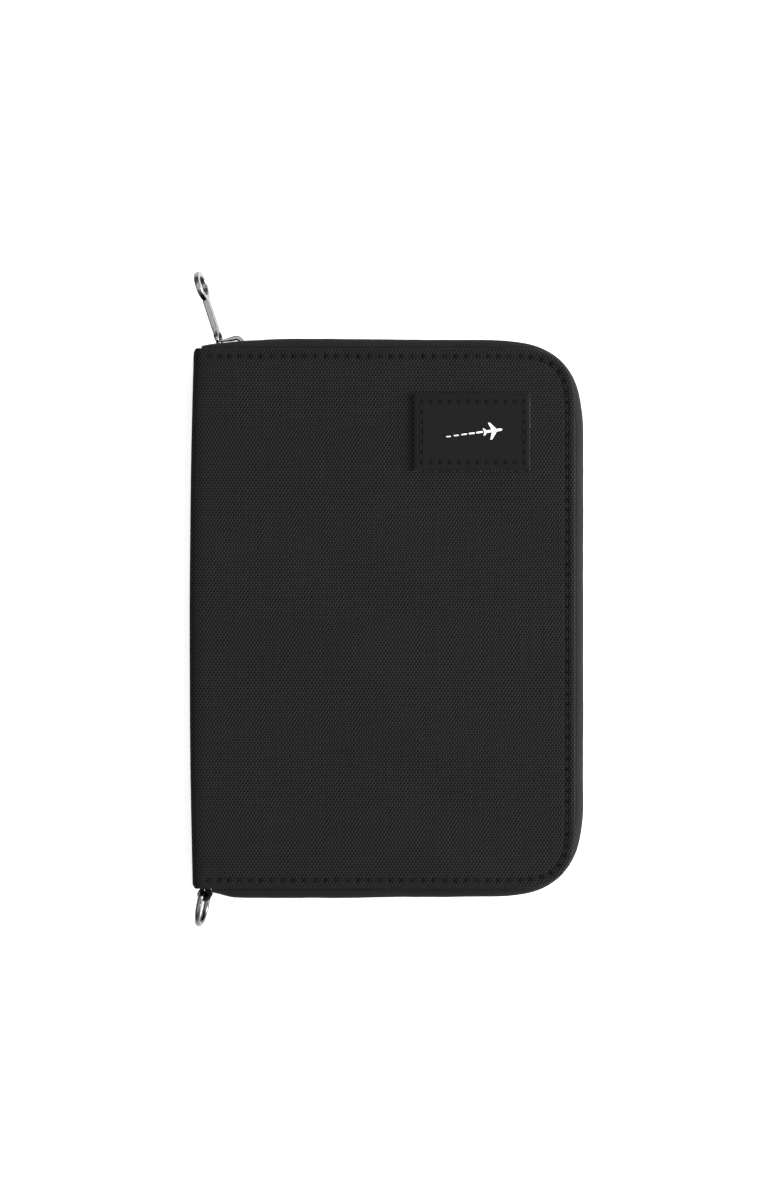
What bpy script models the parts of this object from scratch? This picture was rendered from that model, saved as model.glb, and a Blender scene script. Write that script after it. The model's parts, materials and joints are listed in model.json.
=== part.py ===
"""Zip-round passport wallet, lying closed on its back cover. Metres, +Z up.

The origin is the centre of the back cover's outer face. +X points from the spine to the zip's
long side, +Y to the end where the slider parks, +Z out of the front cover. Each half is a stack
of flat layers with a U-shaped zip edge round three sides. The spine joins the halves, and turns
about the outer corners of the two folds, so the wallet opens flat like a book.
"""

import math

import bmesh
import bpy
from mathutils import Matrix, Vector

MM = 0.001

# The closed wallet. Its two free corners are quarter superellipses, softer than a round corner.
COVER_HEIGHT = 150.0 * MM
THICKNESS = 20.0 * MM
SPINE_X = -54.7 * MM
COVER_EDGE_X = 52.3 * MM
COVER_CORNER = 19.0 * MM
COVER_CORNER_POWER = 3.0
EDGE_CORNER = 29.5 * MM
EDGE_CORNER_POWER = 3.5
SPINE_CORNER_RADIUS = 1.0 * MM
GAP = 0.3 * MM
CORNER_STEPS = 12
ARC_STEPS = 8

# Layers of one half, as heights above that half's outer face: (bottom, top).
COVER_LAYER = (0.0, 0.9 * MM)
BOARD_LAYER = (1.2 * MM, 2.0 * MM)
SHIELD_LAYER = (2.3 * MM, 2.5 * MM)
LINING_LAYER = (2.8 * MM, 3.3 * MM)

# How far each layer stops short of the cover's edge, and where it starts beside the spine.
BOARD_INSET = 4.2 * MM
SHIELD_INSET = 5.2 * MM
LINING_INSET = 4.6 * MM
BOARD_LEFT = SPINE_X + 1.4 * MM
SHIELD_LEFT = SPINE_X + 2.6 * MM
LINING_LEFT = SPINE_X + 2.5 * MM

# Spine layers, as distances in from the spine's outer face, and how far each stops short of the
# wallet's two faces and of its ends.
SPINE_COVER = (0.0, 0.9 * MM)
SPINE_BOARD = (1.2 * MM, 2.0 * MM)
SPINE_LINING = (2.3 * MM, 2.8 * MM)
SPINE_COVER_SHORT = 1.2 * MM
SPINE_BOARD_SHORT = 2.6 * MM
SPINE_LINING_SHORT = 4.0 * MM
SPINE_END_SHORT = 2.0 * MM

# The zip edge's section: n is the distance out from the cover's edge, z the height.
TAPE_LINE = (
    (-3.6 * MM, 1.5 * MM), (0.2 * MM, 1.6 * MM), (1.7 * MM, 2.8 * MM), (2.2 * MM, 4.6 * MM),
    (1.4 * MM, 6.0 * MM), (-1.0 * MM, 6.8 * MM), (-1.9 * MM, 7.6 * MM), (-1.9 * MM, 9.2 * MM),
)
TAPE_THICKNESS = 0.6 * MM
COIL_N = (-1.3 * MM, 0.1 * MM)
COIL_Z = (7.8 * MM, 9.2 * MM)
TAPE_ENDS_X = (-50.6 * MM, -48.0 * MM)
COIL_ENDS_X = (-48.6 * MM, -45.9 * MM)
STOP_LENGTH = 0.8 * MM
BOTTOM_STOP_LENGTH = 1.5 * MM

# The slider, parked at the spine end of the top edge.
SLIDER_X = (-48.6 * MM, -38.3 * MM)
SLIDER_HALF_WIDTH = 3.0 * MM
SLIDER_NOSE_HALF_WIDTH = 2.2 * MM
OUTER_WING_N = (0.3 * MM, 0.65 * MM)
INNER_WING_N = (-3.1 * MM, -2.5 * MM)
POST_LENGTH = 1.4 * MM
POST_HALF_WIDTH = 0.5 * MM
BRIDGE_X = (-48.1 * MM, -39.6 * MM)
BRIDGE_REAR_N = 2.85 * MM
BRIDGE_PEAK_N = 3.95 * MM
BRIDGE_UNDER_N = 2.25 * MM
BRIDGE_HALF_WIDTH = 1.1 * MM

# The pull: an eye round the bridge, a flat shank and a ring head.
PULL_PIVOT = Vector((-46.35 * MM, 76.5 * MM, 10.0 * MM))
PULL_LEAN = math.radians(18.0)
PULL_TWIST = math.radians(-10.0)
PULL_THICKNESS = 1.6 * MM
EYE_THICKNESS = 0.7 * MM
EYE_LENGTH = 4.6 * MM
EYE_HALF_WIDTH = 2.4 * MM
EYE_HOLE_HALF_WIDTH = 1.65 * MM
EYE_BAR_HALF = 0.35 * MM
EYE_HOLE_LENGTH = 3.4 * MM
SHANK_HALF_WIDTH = 1.5 * MM
HEAD_CENTRE = 17.1 * MM
HEAD_RADIUS = 4.3 * MM
HEAD_HOLE_RADIUS = 2.9 * MM

# The folded strap tab at the spine's lower end, and the ring it holds.
RING_PIVOT = Vector((-50.75 * MM, -76.9 * MM, 10.0 * MM))
RING_LEAN = math.radians(11.0)
RING_TWIST = math.radians(-10.0)
RING_WIRE_RADIUS = 0.8 * MM
RING_HALF_WIDTH = 5.0 * MM
RING_LENGTH = 8.7 * MM
TAB_HALF_WIDTH = 3.6 * MM
TAB_BORE_RADIUS = 1.55 * MM
TAB_THICKNESS = 0.5 * MM
TAB_ROOT_Y = -70.0 * MM
TAB_LEG_X = (SPINE_X + 3.1 * MM, SPINE_X + 4.8 * MM)

# Passport pocket on the back half.
POCKET_X = (-45.0 * MM, 45.0 * MM)
POCKET_Y = (-68.0 * MM, 47.0 * MM)
POCKET_FLOOR = 3.6 * MM
POCKET_ROOF = 7.9 * MM
POCKET_PANEL_THICKNESS = 0.5 * MM
GUSSET_THICKNESS = 0.8 * MM
BINDING_DEPTH = 3.0 * MM
BINDING_THICKNESS = 0.8 * MM

# Card slots and slip pocket on the front half, as heights below the front cover's outer face.
CARD_X = (-43.0 * MM, 46.0 * MM)
CARD_BOTTOM_Y = -68.0 * MM
CARD_TOPS_Y = (20.0 * MM, 6.0 * MM, -8.0 * MM, -22.0 * MM)
CARD_PANEL = 0.4 * MM
CARD_PITCH = 0.7 * MM
CARD_FIRST_DEPTH = 4.3 * MM
SLIP_TOP_Y = 42.0 * MM
SLIP_DEPTH = 3.6 * MM

# Label on the front cover.
LABEL_X = (7.4 * MM, 39.8 * MM)
LABEL_Y = (40.9 * MM, 62.5 * MM)
LABEL_THICKNESS = 0.4 * MM

FABRIC = ("woven_black", (0.017, 0.016, 0.017), 0.85, 0.0)
BOARD = ("stiffener_board", (0.35, 0.33, 0.30), 0.9, 0.0)
FOIL = ("shield_foil", (0.62, 0.62, 0.64), 0.35, 0.9)
LINING = ("lining_grey", (0.10, 0.105, 0.115), 0.8, 0.0)
TAPE = ("zip_tape_black", (0.02, 0.02, 0.021), 0.8, 0.0)
COIL = ("zip_coil_black", (0.015, 0.015, 0.016), 0.4, 0.0)
METAL = ("gunmetal", (0.33, 0.33, 0.34), 0.28, 1.0)
LABEL = ("label_black", (0.02, 0.02, 0.02), 0.6, 0.0)
BINDING = ("binding_black", (0.02, 0.02, 0.022), 0.7, 0.0)

HALF_HEIGHT = COVER_HEIGHT / 2


def clear_scene():
    for obj in list(bpy.data.objects):
        bpy.data.objects.remove(obj, do_unlink=True)


def material(spec):
    """The Principled material of a (name, colour, roughness, metallic) spec, made once."""
    name, colour, roughness, metallic = spec
    made = bpy.data.materials.get(name)
    if made:
        return made
    made = bpy.data.materials.new(name)
    made.use_nodes = True
    shader = made.node_tree.nodes["Principled BSDF"]
    shader.inputs["Base Color"].default_value = (*colour, 1.0)
    shader.inputs["Roughness"].default_value = roughness
    shader.inputs["Metallic"].default_value = metallic
    made.diffuse_color = (*colour, 1.0)
    return made


def pivot(name, place, parent=None):
    """An empty on a joint's axis, at a world place. Nothing here is turned at rest."""
    empty = bpy.data.objects.new(name, None)
    empty.empty_display_size = 5 * MM
    bpy.context.scene.collection.objects.link(empty)
    if parent:
        empty.parent = parent
        place = Vector(place) - world_place(parent)
    empty.location = place
    return empty


def world_place(obj):
    """Where an unrotated object is, from its own and its parents' locations."""
    place = obj.location.copy()
    while obj.parent:
        obj = obj.parent
        place += obj.location
    return place


def make(name, bm, spec, body):
    """An object from a bmesh in world coordinates, with its origin on its body's pivot."""
    bmesh.ops.recalc_face_normals(bm, faces=bm.faces)
    bmesh.ops.translate(bm, verts=bm.verts, vec=-world_place(body))
    mesh = bpy.data.meshes.new(name)
    bm.to_mesh(mesh)
    bm.free()
    mesh.shade_smooth()
    mesh.set_sharp_from_angle(angle=math.radians(32))
    obj = bpy.data.objects.new(name, mesh)
    obj.data.materials.append(material(spec))
    obj.parent = body
    bpy.context.scene.collection.objects.link(obj)
    return obj


def arc(centre, radius, start, end, steps=ARC_STEPS):
    """Points on an arc, angles in degrees."""
    angles = [math.radians(start + (end - start) * i / steps) for i in range(steps + 1)]
    return [(centre[0] + radius * math.cos(a), centre[1] + radius * math.sin(a)) for a in angles]


def prism(outline, low, high, place=Matrix.Identity(4)):
    """A bmesh of a 2D outline between two heights, put in place by a matrix."""
    bm = bmesh.new()
    floor = bm.faces.new([bm.verts.new((x, y, low)) for x, y in outline])
    walls = bmesh.ops.extrude_face_region(bm, geom=[floor])
    raised = [v for v in walls["geom"] if isinstance(v, bmesh.types.BMVert)]
    bmesh.ops.translate(bm, verts=raised, vec=(0, 0, high - low))
    bmesh.ops.transform(bm, verts=bm.verts, matrix=place)
    return bm


def rectangle(x_range, y_range):
    (x0, x1), (y0, y1) = x_range, y_range
    return [(x0, y0), (x1, y0), (x1, y1), (x0, y1)]


def corner_quarter(size, power, steps=CORNER_STEPS):
    """(point, direction out) along a superellipse quarter, from its top to its right end."""
    quarter = []
    for i in range(steps + 1):
        angle = math.radians(90 * (1 - i / steps))
        across, up = max(math.cos(angle), 0.0) ** (2 / power), max(math.sin(angle), 0.0) ** (2 / power)
        out = Vector((across ** (power - 1), up ** (power - 1))).normalized()
        quarter.append(((size * across, size * up), tuple(out)))
    return quarter


def edge_stations(top_start_x, bottom_start_x, size=EDGE_CORNER, power=EDGE_CORNER_POWER):
    """Places along a half's zip edge with the direction out: top, right side, bottom."""
    centre_x = COVER_EDGE_X - size
    centre_y = HALF_HEIGHT - size
    quarter = corner_quarter(size, power)
    upper = [((centre_x + x, centre_y + y), out) for (x, y), out in quarter]
    lower = [((x, -y), (out_x, -out_y)) for (x, y), (out_x, out_y) in reversed(upper)]
    start = ((top_start_x, HALF_HEIGHT), (0.0, 1.0))
    end = ((bottom_start_x, -HALF_HEIGHT), (0.0, -1.0))
    return [start] + upper + lower + [end]


def leaf_outline(left, inset, left_radius=0.5 * MM, **corner):
    """A layer's shape, an even distance in from the zip edge: nearly square at the spine."""
    r = left_radius
    top = HALF_HEIGHT - inset
    zip_side = [
        (x - inset * out_x, y - inset * out_y)
        for (x, y), (out_x, out_y) in reversed(edge_stations(left, left, **corner)[1:-1])
    ]
    return (
        arc((left + r, -top + r), r, 180, 270, 3)
        + zip_side
        + arc((left + r, top - r), r, 90, 180, 3)
    )


def edge_sweep(section, ends_x):
    """A closed (n, z) section carried round the zip edge, from the top end to the bottom end."""
    bm = bmesh.new()
    rings = []
    for (x, y), (out_x, out_y) in edge_stations(*ends_x):
        rings.append([bm.verts.new((x + n * out_x, y + n * out_y, z)) for n, z in section])
    for ring, following in zip(rings, rings[1:]):
        for i in range(len(section)):
            j = (i + 1) % len(section)
            bm.faces.new((ring[i], ring[j], following[j], following[i]))
    bm.faces.new(rings[0])
    bm.faces.new(rings[-1])
    return bm


def thick_line(points, thickness):
    """A closed outline round an open line, half the thickness to each side."""
    left, right = [], []
    for i, point in enumerate(points):
        before = Vector(points[max(i - 1, 0)])
        after = Vector(points[min(i + 1, len(points) - 1)])
        here = Vector(point)
        incoming = (here - before).normalized() if i else (after - here).normalized()
        outgoing = (after - here).normalized() if i < len(points) - 1 else incoming
        along = (incoming + outgoing).normalized()
        half = thickness / 2 / max(along.dot(incoming), 0.5)
        side = Vector((-along.y, along.x)) * half
        left.append(tuple(here + side))
        right.append(tuple(here - side))
    return left + right[::-1]


def flip_to_front(bm):
    """Turns a back-half shape over into the front half, by mirroring it across mid-thickness."""
    turned = Matrix.Translation((0, 0, THICKNESS)) @ Matrix.Diagonal((1, 1, -1, 1))
    bmesh.ops.transform(bm, verts=bm.verts, matrix=turned)
    return bm


def add_boolean(obj, other, operation):
    """Joins or cuts with a helper object, which isn't a part itself."""
    other.hide_render = True
    other.display_type = "WIRE"
    modifier = obj.modifiers.new(other.name, "BOOLEAN")
    modifier.operation = operation
    modifier.solver = "EXACT"
    modifier.object = other


def build_half_layers(side, body):
    """Cover, board, shield and lining of one half. side is "back" or "front"."""
    cover = leaf_outline(SPINE_X, 0.0, SPINE_CORNER_RADIUS, size=COVER_CORNER, power=COVER_CORNER_POWER)
    layers = (
        ("cover", cover, COVER_LAYER, FABRIC),
        ("board", leaf_outline(BOARD_LEFT, BOARD_INSET), BOARD_LAYER, BOARD),
        ("shield", leaf_outline(SHIELD_LEFT, SHIELD_INSET), SHIELD_LAYER, FOIL),
        ("lining", leaf_outline(LINING_LEFT, LINING_INSET), LINING_LAYER, LINING),
    )
    for name, outline, (low, high), spec in layers:
        bm = prism(outline, low, high)
        if side == "front":
            flip_to_front(bm)
        make(f"{side}_{name}", bm, spec, body)


def build_zip_half(side, body):
    """The rolled tape, the coil and the top stop of one half."""
    coil_section = rectangle(COIL_N, COIL_Z)
    pieces = (
        (f"{side}_zip_tape", edge_sweep(thick_line(TAPE_LINE, TAPE_THICKNESS), TAPE_ENDS_X), TAPE),
        (f"{side}_zip_coil", edge_sweep(coil_section, COIL_ENDS_X), COIL),
        (f"{side}_top_stop", stop_block(1, STOP_LENGTH, COIL_Z), METAL),
    )
    for name, bm, spec in pieces:
        if side == "front":
            flip_to_front(bm)
        make(name, bm, spec, body)


def stop_block(end, length, z_range):
    """A stop clamped on the coil's end: end is 1 at the top edge, -1 at the bottom edge."""
    high_x = COIL_ENDS_X[0 if end > 0 else 1] - GAP
    edge_y = HALF_HEIGHT
    y_range = sorted((end * (edge_y + COIL_N[0]), end * (edge_y + COIL_N[1])))
    return prism(rectangle((high_x - length, high_x), y_range), *z_range)


def build_spine(body):
    """The spine's cover, board and lining: upright slabs across the thickness."""
    layers = (
        ("cover", SPINE_COVER, SPINE_COVER_SHORT, 0.0, FABRIC),
        ("board", SPINE_BOARD, SPINE_BOARD_SHORT, SPINE_END_SHORT, BOARD),
        ("lining", SPINE_LINING, SPINE_LINING_SHORT, SPINE_END_SHORT, LINING),
    )
    for name, (outer, inner), short, end_short, spec in layers:
        x_range = (SPINE_X + outer, SPINE_X + inner)
        half = HALF_HEIGHT - end_short
        bm = prism(rectangle(x_range, (-half, half)), short, THICKNESS - short)
        make(f"spine_{name}", bm, spec, body)


def build_strap_tab(body):
    """A strip folded round the ring's bar, its two legs meeting on the spine's lining."""
    centre = (RING_PIVOT.x, RING_PIVOT.y)
    outer = TAB_BORE_RADIUS + TAB_THICKNESS
    left, right = TAB_LEG_X
    meet = math.degrees(math.acos((right - centre[0]) / outer))
    loop = arc(centre, outer, 180 - meet, 360 + meet, 20)
    outline = [(left, TAB_ROOT_Y)] + loop + [(right, TAB_ROOT_Y)]
    low, high = RING_PIVOT.z - TAB_HALF_WIDTH, RING_PIVOT.z + TAB_HALF_WIDTH
    tab = make("strap_tab", prism(outline, low, high), BINDING, body)
    bore = arc(centre, TAB_BORE_RADIUS, 0, 345, 23)
    cutter = make("strap_tab_bore", prism(bore, low - MM, high + MM), BINDING, body)
    add_boolean(tab, cutter, "DIFFERENCE")


def build_strap_ring(body):
    """A D-ring of round wire: its straight bar is the pivot, its bow hangs from the tab."""
    bow = [(RING_LENGTH - RING_HALF_WIDTH + y, x) for x, y in arc((0, 0), RING_HALF_WIDTH, 180, 0, 18)]
    corner = 1.2 * MM
    bar = [(0.0, RING_HALF_WIDTH - corner), (0.0, corner - RING_HALF_WIDTH)]
    sides = [(corner, -RING_HALF_WIDTH), *bow, (corner, RING_HALF_WIDTH)]
    outline = bar + sides
    down = Matrix.Rotation(-RING_LEAN, 4, "Z") @ Matrix.Rotation(RING_TWIST, 4, "Y")
    curve = bpy.data.curves.new("strap_ring", "CURVE")
    curve.dimensions = "3D"
    curve.bevel_depth = RING_WIRE_RADIUS
    curve.bevel_resolution = 3
    spline = curve.splines.new("POLY")
    spline.points.add(len(outline) - 1)
    spline.use_cyclic_u = True
    for point, (u, w) in zip(spline.points, outline):
        point.co = (*(down @ Vector((0, -u, w))), 1.0)
    curve.materials.append(material(METAL))
    ring = bpy.data.objects.new("strap_ring", curve)
    ring.parent = body
    bpy.context.scene.collection.objects.link(ring)


def build_slider(body):
    """Two wings joined by a post that parts the tapes, with a bridge over the outer wing."""
    middle = THICKNESS / 2
    upright = Matrix.Translation((0, HALF_HEIGHT, middle)) @ Matrix.Rotation(math.radians(-90), 4, "X")

    def wing(n_range):
        """A shield-shaped plate: wide at the post, narrow at the end that closes the chain."""
        rear, nose = SLIDER_X
        wide, narrow = SLIDER_HALF_WIDTH, SLIDER_NOSE_HALF_WIDTH
        trim = 1.0 * MM
        outline = [
            (rear, -wide + trim), (rear + trim, -wide), (rear + 4 * trim, -wide),
            (nose, -narrow), (nose, narrow),
            (rear + 4 * trim, wide), (rear + trim, wide), (rear, wide - trim),
        ]
        return prism(outline, *n_range, upright)

    slider = make("slider_body", wing(OUTER_WING_N), METAL, body)
    inner_wing = make("slider_inner_wing", wing(INNER_WING_N), METAL, body)
    rear = SLIDER_X[0] + 0.2 * MM
    post_outline = rectangle((rear, rear + POST_LENGTH), (-POST_HALF_WIDTH, POST_HALF_WIDTH))
    overlap = 0.2 * MM
    post_bm = prism(post_outline, INNER_WING_N[1] - overlap, OUTER_WING_N[0] + overlap, upright)
    post = make("slider_post", post_bm, METAL, body)
    bridge = make("slider_bridge", bridge_shape(), METAL, body)
    for helper in (post, inner_wing, bridge):
        add_boolean(slider, helper, "UNION")


def bridge_shape():
    """A low arch, steeper at the closing end, with two legs let into the outer wing."""
    left, right = BRIDGE_X
    foot = OUTER_WING_N[1] - 0.2 * MM
    rear, peak, under = BRIDGE_REAR_N, BRIDGE_PEAK_N, BRIDGE_UNDER_N
    shoulder = 0.6 * MM
    crown = 2.3 * MM
    rear_leg = 0.7 * MM
    front_leg = 1.5 * MM
    outside = (
        [(left, foot)]
        + arc((left + shoulder, rear - shoulder), shoulder, 180, 100, 4)
        + arc((right - crown, peak - crown), crown, 110, 10, 8)
        + [(right, foot)]
    )
    round_in = 0.6 * MM
    inside = (
        [(right - front_leg, foot)]
        + arc((right - front_leg - round_in, under - round_in), round_in, 0, 90, 4)
        + [(left + rear_leg + 0.1 * MM, under), (left + rear_leg, under - 0.1 * MM), (left + rear_leg, foot)]
    )
    outline = [(x, HALF_HEIGHT + n) for x, n in outside + inside]
    middle = THICKNESS / 2
    return prism(outline, middle - BRIDGE_HALF_WIDTH, middle + BRIDGE_HALF_WIDTH)


def pull_matrix():
    """From the pull's own plane (length, width, thickness) to where it hangs on the bridge."""
    flat = Matrix(((0, 0, 1, 0), (1, 0, 0, 0), (0, 1, 0, 0), (0, 0, 0, 1)))
    lean = Matrix.Rotation(PULL_LEAN, 4, "Z")
    twist = Matrix.Rotation(PULL_TWIST, 4, "Y")
    return Matrix.Translation(PULL_PIVOT) @ lean @ twist @ flat


def build_pull(body):
    """One flat casting: a thin eye round the bridge, a shank and a ring head."""
    place = pull_matrix()
    half = PULL_THICKNESS / 2
    shank_start = EYE_HOLE_LENGTH + 0.5 * MM
    meet = math.degrees(math.asin(SHANK_HALF_WIDTH / HEAD_RADIUS))
    head = arc((HEAD_CENTRE, 0), HEAD_RADIUS, 180 + meet, 540 - meet, 28)
    outline = [(shank_start, SHANK_HALF_WIDTH), (shank_start, -SHANK_HALF_WIDTH)] + head
    pull = make("zip_pull", prism(outline, -half, half, place), METAL, body)

    corner = 0.9 * MM
    wide = EYE_HALF_WIDTH
    near, far = -EYE_BAR_HALF, EYE_LENGTH
    eye_outline = [
        (near, -wide), (far - 2 * corner, -wide), (far, -wide + 1.6 * corner),
        (far, wide - 1.6 * corner), (far - 2 * corner, wide), (near, wide),
    ]
    eye_half = EYE_THICKNESS / 2
    eye = make("zip_pull_eye", prism(eye_outline, -eye_half, eye_half, place), METAL, body)
    add_boolean(pull, eye, "UNION")

    eye_hole = rectangle((EYE_BAR_HALF, EYE_HOLE_LENGTH), (-EYE_HOLE_HALF_WIDTH, EYE_HOLE_HALF_WIDTH))
    head_hole = arc((HEAD_CENTRE, 0), HEAD_HOLE_RADIUS, 0, 345, 23)
    for name, hole in (("zip_pull_eye_hole", eye_hole), ("zip_pull_head_hole", head_hole)):
        cutter = make(name, prism(hole, -PULL_THICKNESS, PULL_THICKNESS, place), METAL, body)
        add_boolean(pull, cutter, "DIFFERENCE")


def build_passport_pocket(body):
    """A panel held off the lining by a gusset on three sides, with a bound mouth at the top."""
    (x0, x1), (y0, y1) = POCKET_X, POCKET_Y
    wall = GUSSET_THICKNESS
    gusset = [
        (x0, y1), (x0, y0), (x1, y0), (x1, y1),
        (x1 - wall, y1), (x1 - wall, y0 + wall), (x0 + wall, y0 + wall), (x0 + wall, y1),
    ]
    make("passport_gusset", prism(gusset, POCKET_FLOOR, POCKET_ROOF), BINDING, body)
    panel_low = POCKET_ROOF + GAP
    panel = prism(rectangle(POCKET_X, POCKET_Y), panel_low, panel_low + POCKET_PANEL_THICKNESS)
    make("passport_pocket", panel, LINING, body)
    mouth = (y1 + GAP, y1 + GAP + BINDING_DEPTH)
    low = POCKET_ROOF + 0.1 * MM
    binding = prism(rectangle(POCKET_X, mouth), low, low + BINDING_THICKNESS)
    make("passport_pocket_binding", binding, BINDING, body)


def build_card_pockets(body):
    """A tall slip pocket, then four card panels, each lower and nearer the reader."""
    def panel(name, top_y, depth, thickness, bottom_y, spec):
        shape = prism(rectangle(CARD_X, (bottom_y, top_y)), depth, depth + thickness)
        make(name, flip_to_front(shape), spec, body)

    panel("slip_pocket", SLIP_TOP_Y, SLIP_DEPTH, CARD_PANEL, CARD_BOTTOM_Y, LINING)
    mouth = SLIP_TOP_Y + GAP
    panel("slip_pocket_binding", mouth + BINDING_DEPTH, SLIP_DEPTH, BINDING_THICKNESS, mouth, BINDING)
    for i, top_y in enumerate(CARD_TOPS_Y):
        depth = CARD_FIRST_DEPTH + i * CARD_PITCH
        panel(f"card_slot_{i + 1}", top_y, depth, CARD_PANEL, CARD_BOTTOM_Y, LINING)


def build_label(body):
    low = THICKNESS + GAP
    make("front_label", prism(rectangle(LABEL_X, LABEL_Y), low, low + LABEL_THICKNESS), LABEL, body)


def main():
    clear_scene()
    back = pivot("back_half", (0, 0, 0))
    spine = pivot("spine_fold", (SPINE_X, 0, 0))
    front = pivot("front_fold", (SPINE_X, 0, THICKNESS), spine)
    slider = pivot("slider_travel", (sum(SLIDER_X) / 2, HALF_HEIGHT, THICKNESS / 2))
    pull = pivot("pull_swing", PULL_PIVOT, slider)
    ring = pivot("ring_swing", RING_PIVOT, spine)

    build_half_layers("back", back)
    build_zip_half("back", back)
    bottom_z = (COIL_Z[0], THICKNESS - COIL_Z[0])
    make("zip_bottom_stop", stop_block(-1, BOTTOM_STOP_LENGTH, bottom_z), METAL, back)
    build_passport_pocket(back)

    build_spine(spine)
    build_strap_tab(spine)
    build_strap_ring(ring)

    build_half_layers("front", front)
    build_zip_half("front", front)
    build_card_pockets(front)
    build_label(front)

    build_slider(slider)
    build_pull(pull)


main()
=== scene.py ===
import json
import math

import bmesh
import bpy
import numpy as np
from mathutils import Matrix, Vector
from mathutils.kdtree import KDTree


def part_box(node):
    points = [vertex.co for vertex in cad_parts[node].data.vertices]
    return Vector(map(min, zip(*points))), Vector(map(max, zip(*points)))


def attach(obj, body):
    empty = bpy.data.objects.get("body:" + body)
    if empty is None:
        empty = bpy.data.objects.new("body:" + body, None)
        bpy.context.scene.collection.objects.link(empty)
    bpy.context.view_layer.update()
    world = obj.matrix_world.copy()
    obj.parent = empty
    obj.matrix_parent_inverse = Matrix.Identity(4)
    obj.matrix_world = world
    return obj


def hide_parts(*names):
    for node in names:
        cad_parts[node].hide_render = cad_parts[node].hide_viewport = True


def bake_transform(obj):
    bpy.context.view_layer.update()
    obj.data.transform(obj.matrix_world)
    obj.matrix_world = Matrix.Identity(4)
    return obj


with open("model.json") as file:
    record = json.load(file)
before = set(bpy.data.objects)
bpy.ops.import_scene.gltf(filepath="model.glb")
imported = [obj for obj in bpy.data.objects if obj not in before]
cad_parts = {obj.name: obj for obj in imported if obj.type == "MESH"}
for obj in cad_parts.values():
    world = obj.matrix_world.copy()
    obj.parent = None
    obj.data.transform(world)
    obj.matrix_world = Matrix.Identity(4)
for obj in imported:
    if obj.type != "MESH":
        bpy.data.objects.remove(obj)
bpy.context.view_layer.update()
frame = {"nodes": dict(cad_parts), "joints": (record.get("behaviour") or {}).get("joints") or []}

MM = 0.001

# Driving sizes, read from the frame. Heights of a half are measured from its own outer face.
cover_low, cover_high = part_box("back_cover")
SPINE_X, COVER_EDGE_X, HALF_HEIGHT = cover_low.x, cover_high.x, cover_high.y
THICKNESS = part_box("front_cover")[1].z
MIDDLE_Z = THICKNESS / 2

# Corners are superellipse quarters: size and power, of the covers and of the zip edge.
COVER_CORNER = (19.0 * MM, 3.0)
EDGE_CORNER = (29.5 * MM, 3.5)

# Outer fabric. The spine's fold is barrelled, so it sits further in towards its two ends.
FABRIC_THICKNESS = 0.35 * MM
COVER_WARP, COVER_WEFT = 0.467 * MM, 0.75 * MM
FOLD_RADIUS = 1.6 * MM
HEM_RADIUS = 0.45 * MM
STITCH_INSET = 2.3 * MM
STITCH_PITCH = 3.0 * MM
STITCH_START_X = -50.0 * MM
THREAD_RADIUS = 0.16 * MM
THREAD_SUNK = 0.03 * MM
GROOVE_DEPTH, GROOVE_WIDTH = 0.13 * MM, 0.55 * MM
DENT_DEPTH, DENT_RADIUS = 0.34 * MM, 0.52 * MM
PUFF = 0.22 * MM
SPINE_BARREL = 1.15 * MM
SPINE_END_RADIUS = 1.4 * MM

# Zip edge. The tape's line is (n, z) in mm: n outward from the cover's edge, z up from the outer face.
TAPE_LINE = (
    (-3.5, 1.45), (-1.6, 1.45), (0.3, 1.6), (1.55, 2.5), (2.2, 4.0), (1.95, 5.4),
    (0.7, 6.3), (-0.9, 6.8), (-1.75, 7.4), (-1.95, 8.2), (-1.95, 9.1),
)
TAPE_THICKNESS = 0.5 * MM
TAPE_RIB_PITCH = 0.5 * MM
TAPE_RIB_HEIGHT = 0.035 * MM
COIL_PITCH = 1.4 * MM
COIL_WIRE = 0.25 * MM
COIL_N, COIL_Z = -0.8 * MM, 8.75 * MM
COIL_HALF_N, COIL_HALF_Z = 0.5 * MM, 1.2 * MM
COIL_TOP_X, COIL_BOTTOM_X = -48.6 * MM, -47.2 * MM
COIL_PARTED = 0.95 * MM

# Linings and pockets. The fold line is (x from the spine, z) in mm, from mid-spine to the lining's face.
LINING_THICKNESS = 0.3 * MM
LINING_Z = 3.05 * MM
LINING_INSET = 1.2 * MM
LINING_HEM = 3.0 * MM
TAPE_DROP = 0.72 * MM
LINING_FOLD = (
    (2.55, 10.0), (2.55, 7.0), (2.5, 5.0), (2.25, 3.7), (2.35, 2.9), (3.1, 2.7), (4.3, 2.95), (5.5, 3.05),
)
PANEL_FOOT_Z = 3.35 * MM
PANEL_PROUD = 0.15 * MM
MOUTH_INSET = 2.2 * MM


# ---- numbers ----------------------------------------------------------------------------------

def mm(*points, at=(0, 0)):
    """Plane points given in millimetres from a place."""
    return np.array(points) * MM + at


def smoothstep(low, high, value):
    t = np.clip((np.asarray(value, float) - low) / (high - low), 0.0, 1.0)
    return t * t * (3 - 2 * t)


def bump_at(value, centre, width):
    return np.exp(-((np.asarray(value) - centre) / width) ** 2)


def ripple(x, y, wavelength, seed):
    """A smooth, repeatable unevenness between about -1 and 1."""
    total = 0.0
    for i in range(6):
        angle = seed * 1.7 + i * 2.399
        turn = 2 * math.pi / wavelength * (0.7 + 0.17 * i)
        total = total + np.sin(turn * (x * math.cos(angle) + y * math.sin(angle)) + seed * 3.1 + i)
    return total / 3.2


def unit(directions):
    return directions / np.linalg.norm(directions, axis=-1, keepdims=True)


def tangents(line):
    """The unit direction of a line at each of its points."""
    return unit(np.gradient(line, axis=0))


def vectors(*parts):
    """Coordinates, spread over each other, as one array of vectors."""
    return np.stack(np.broadcast_arrays(*parts), axis=-1)


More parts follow.
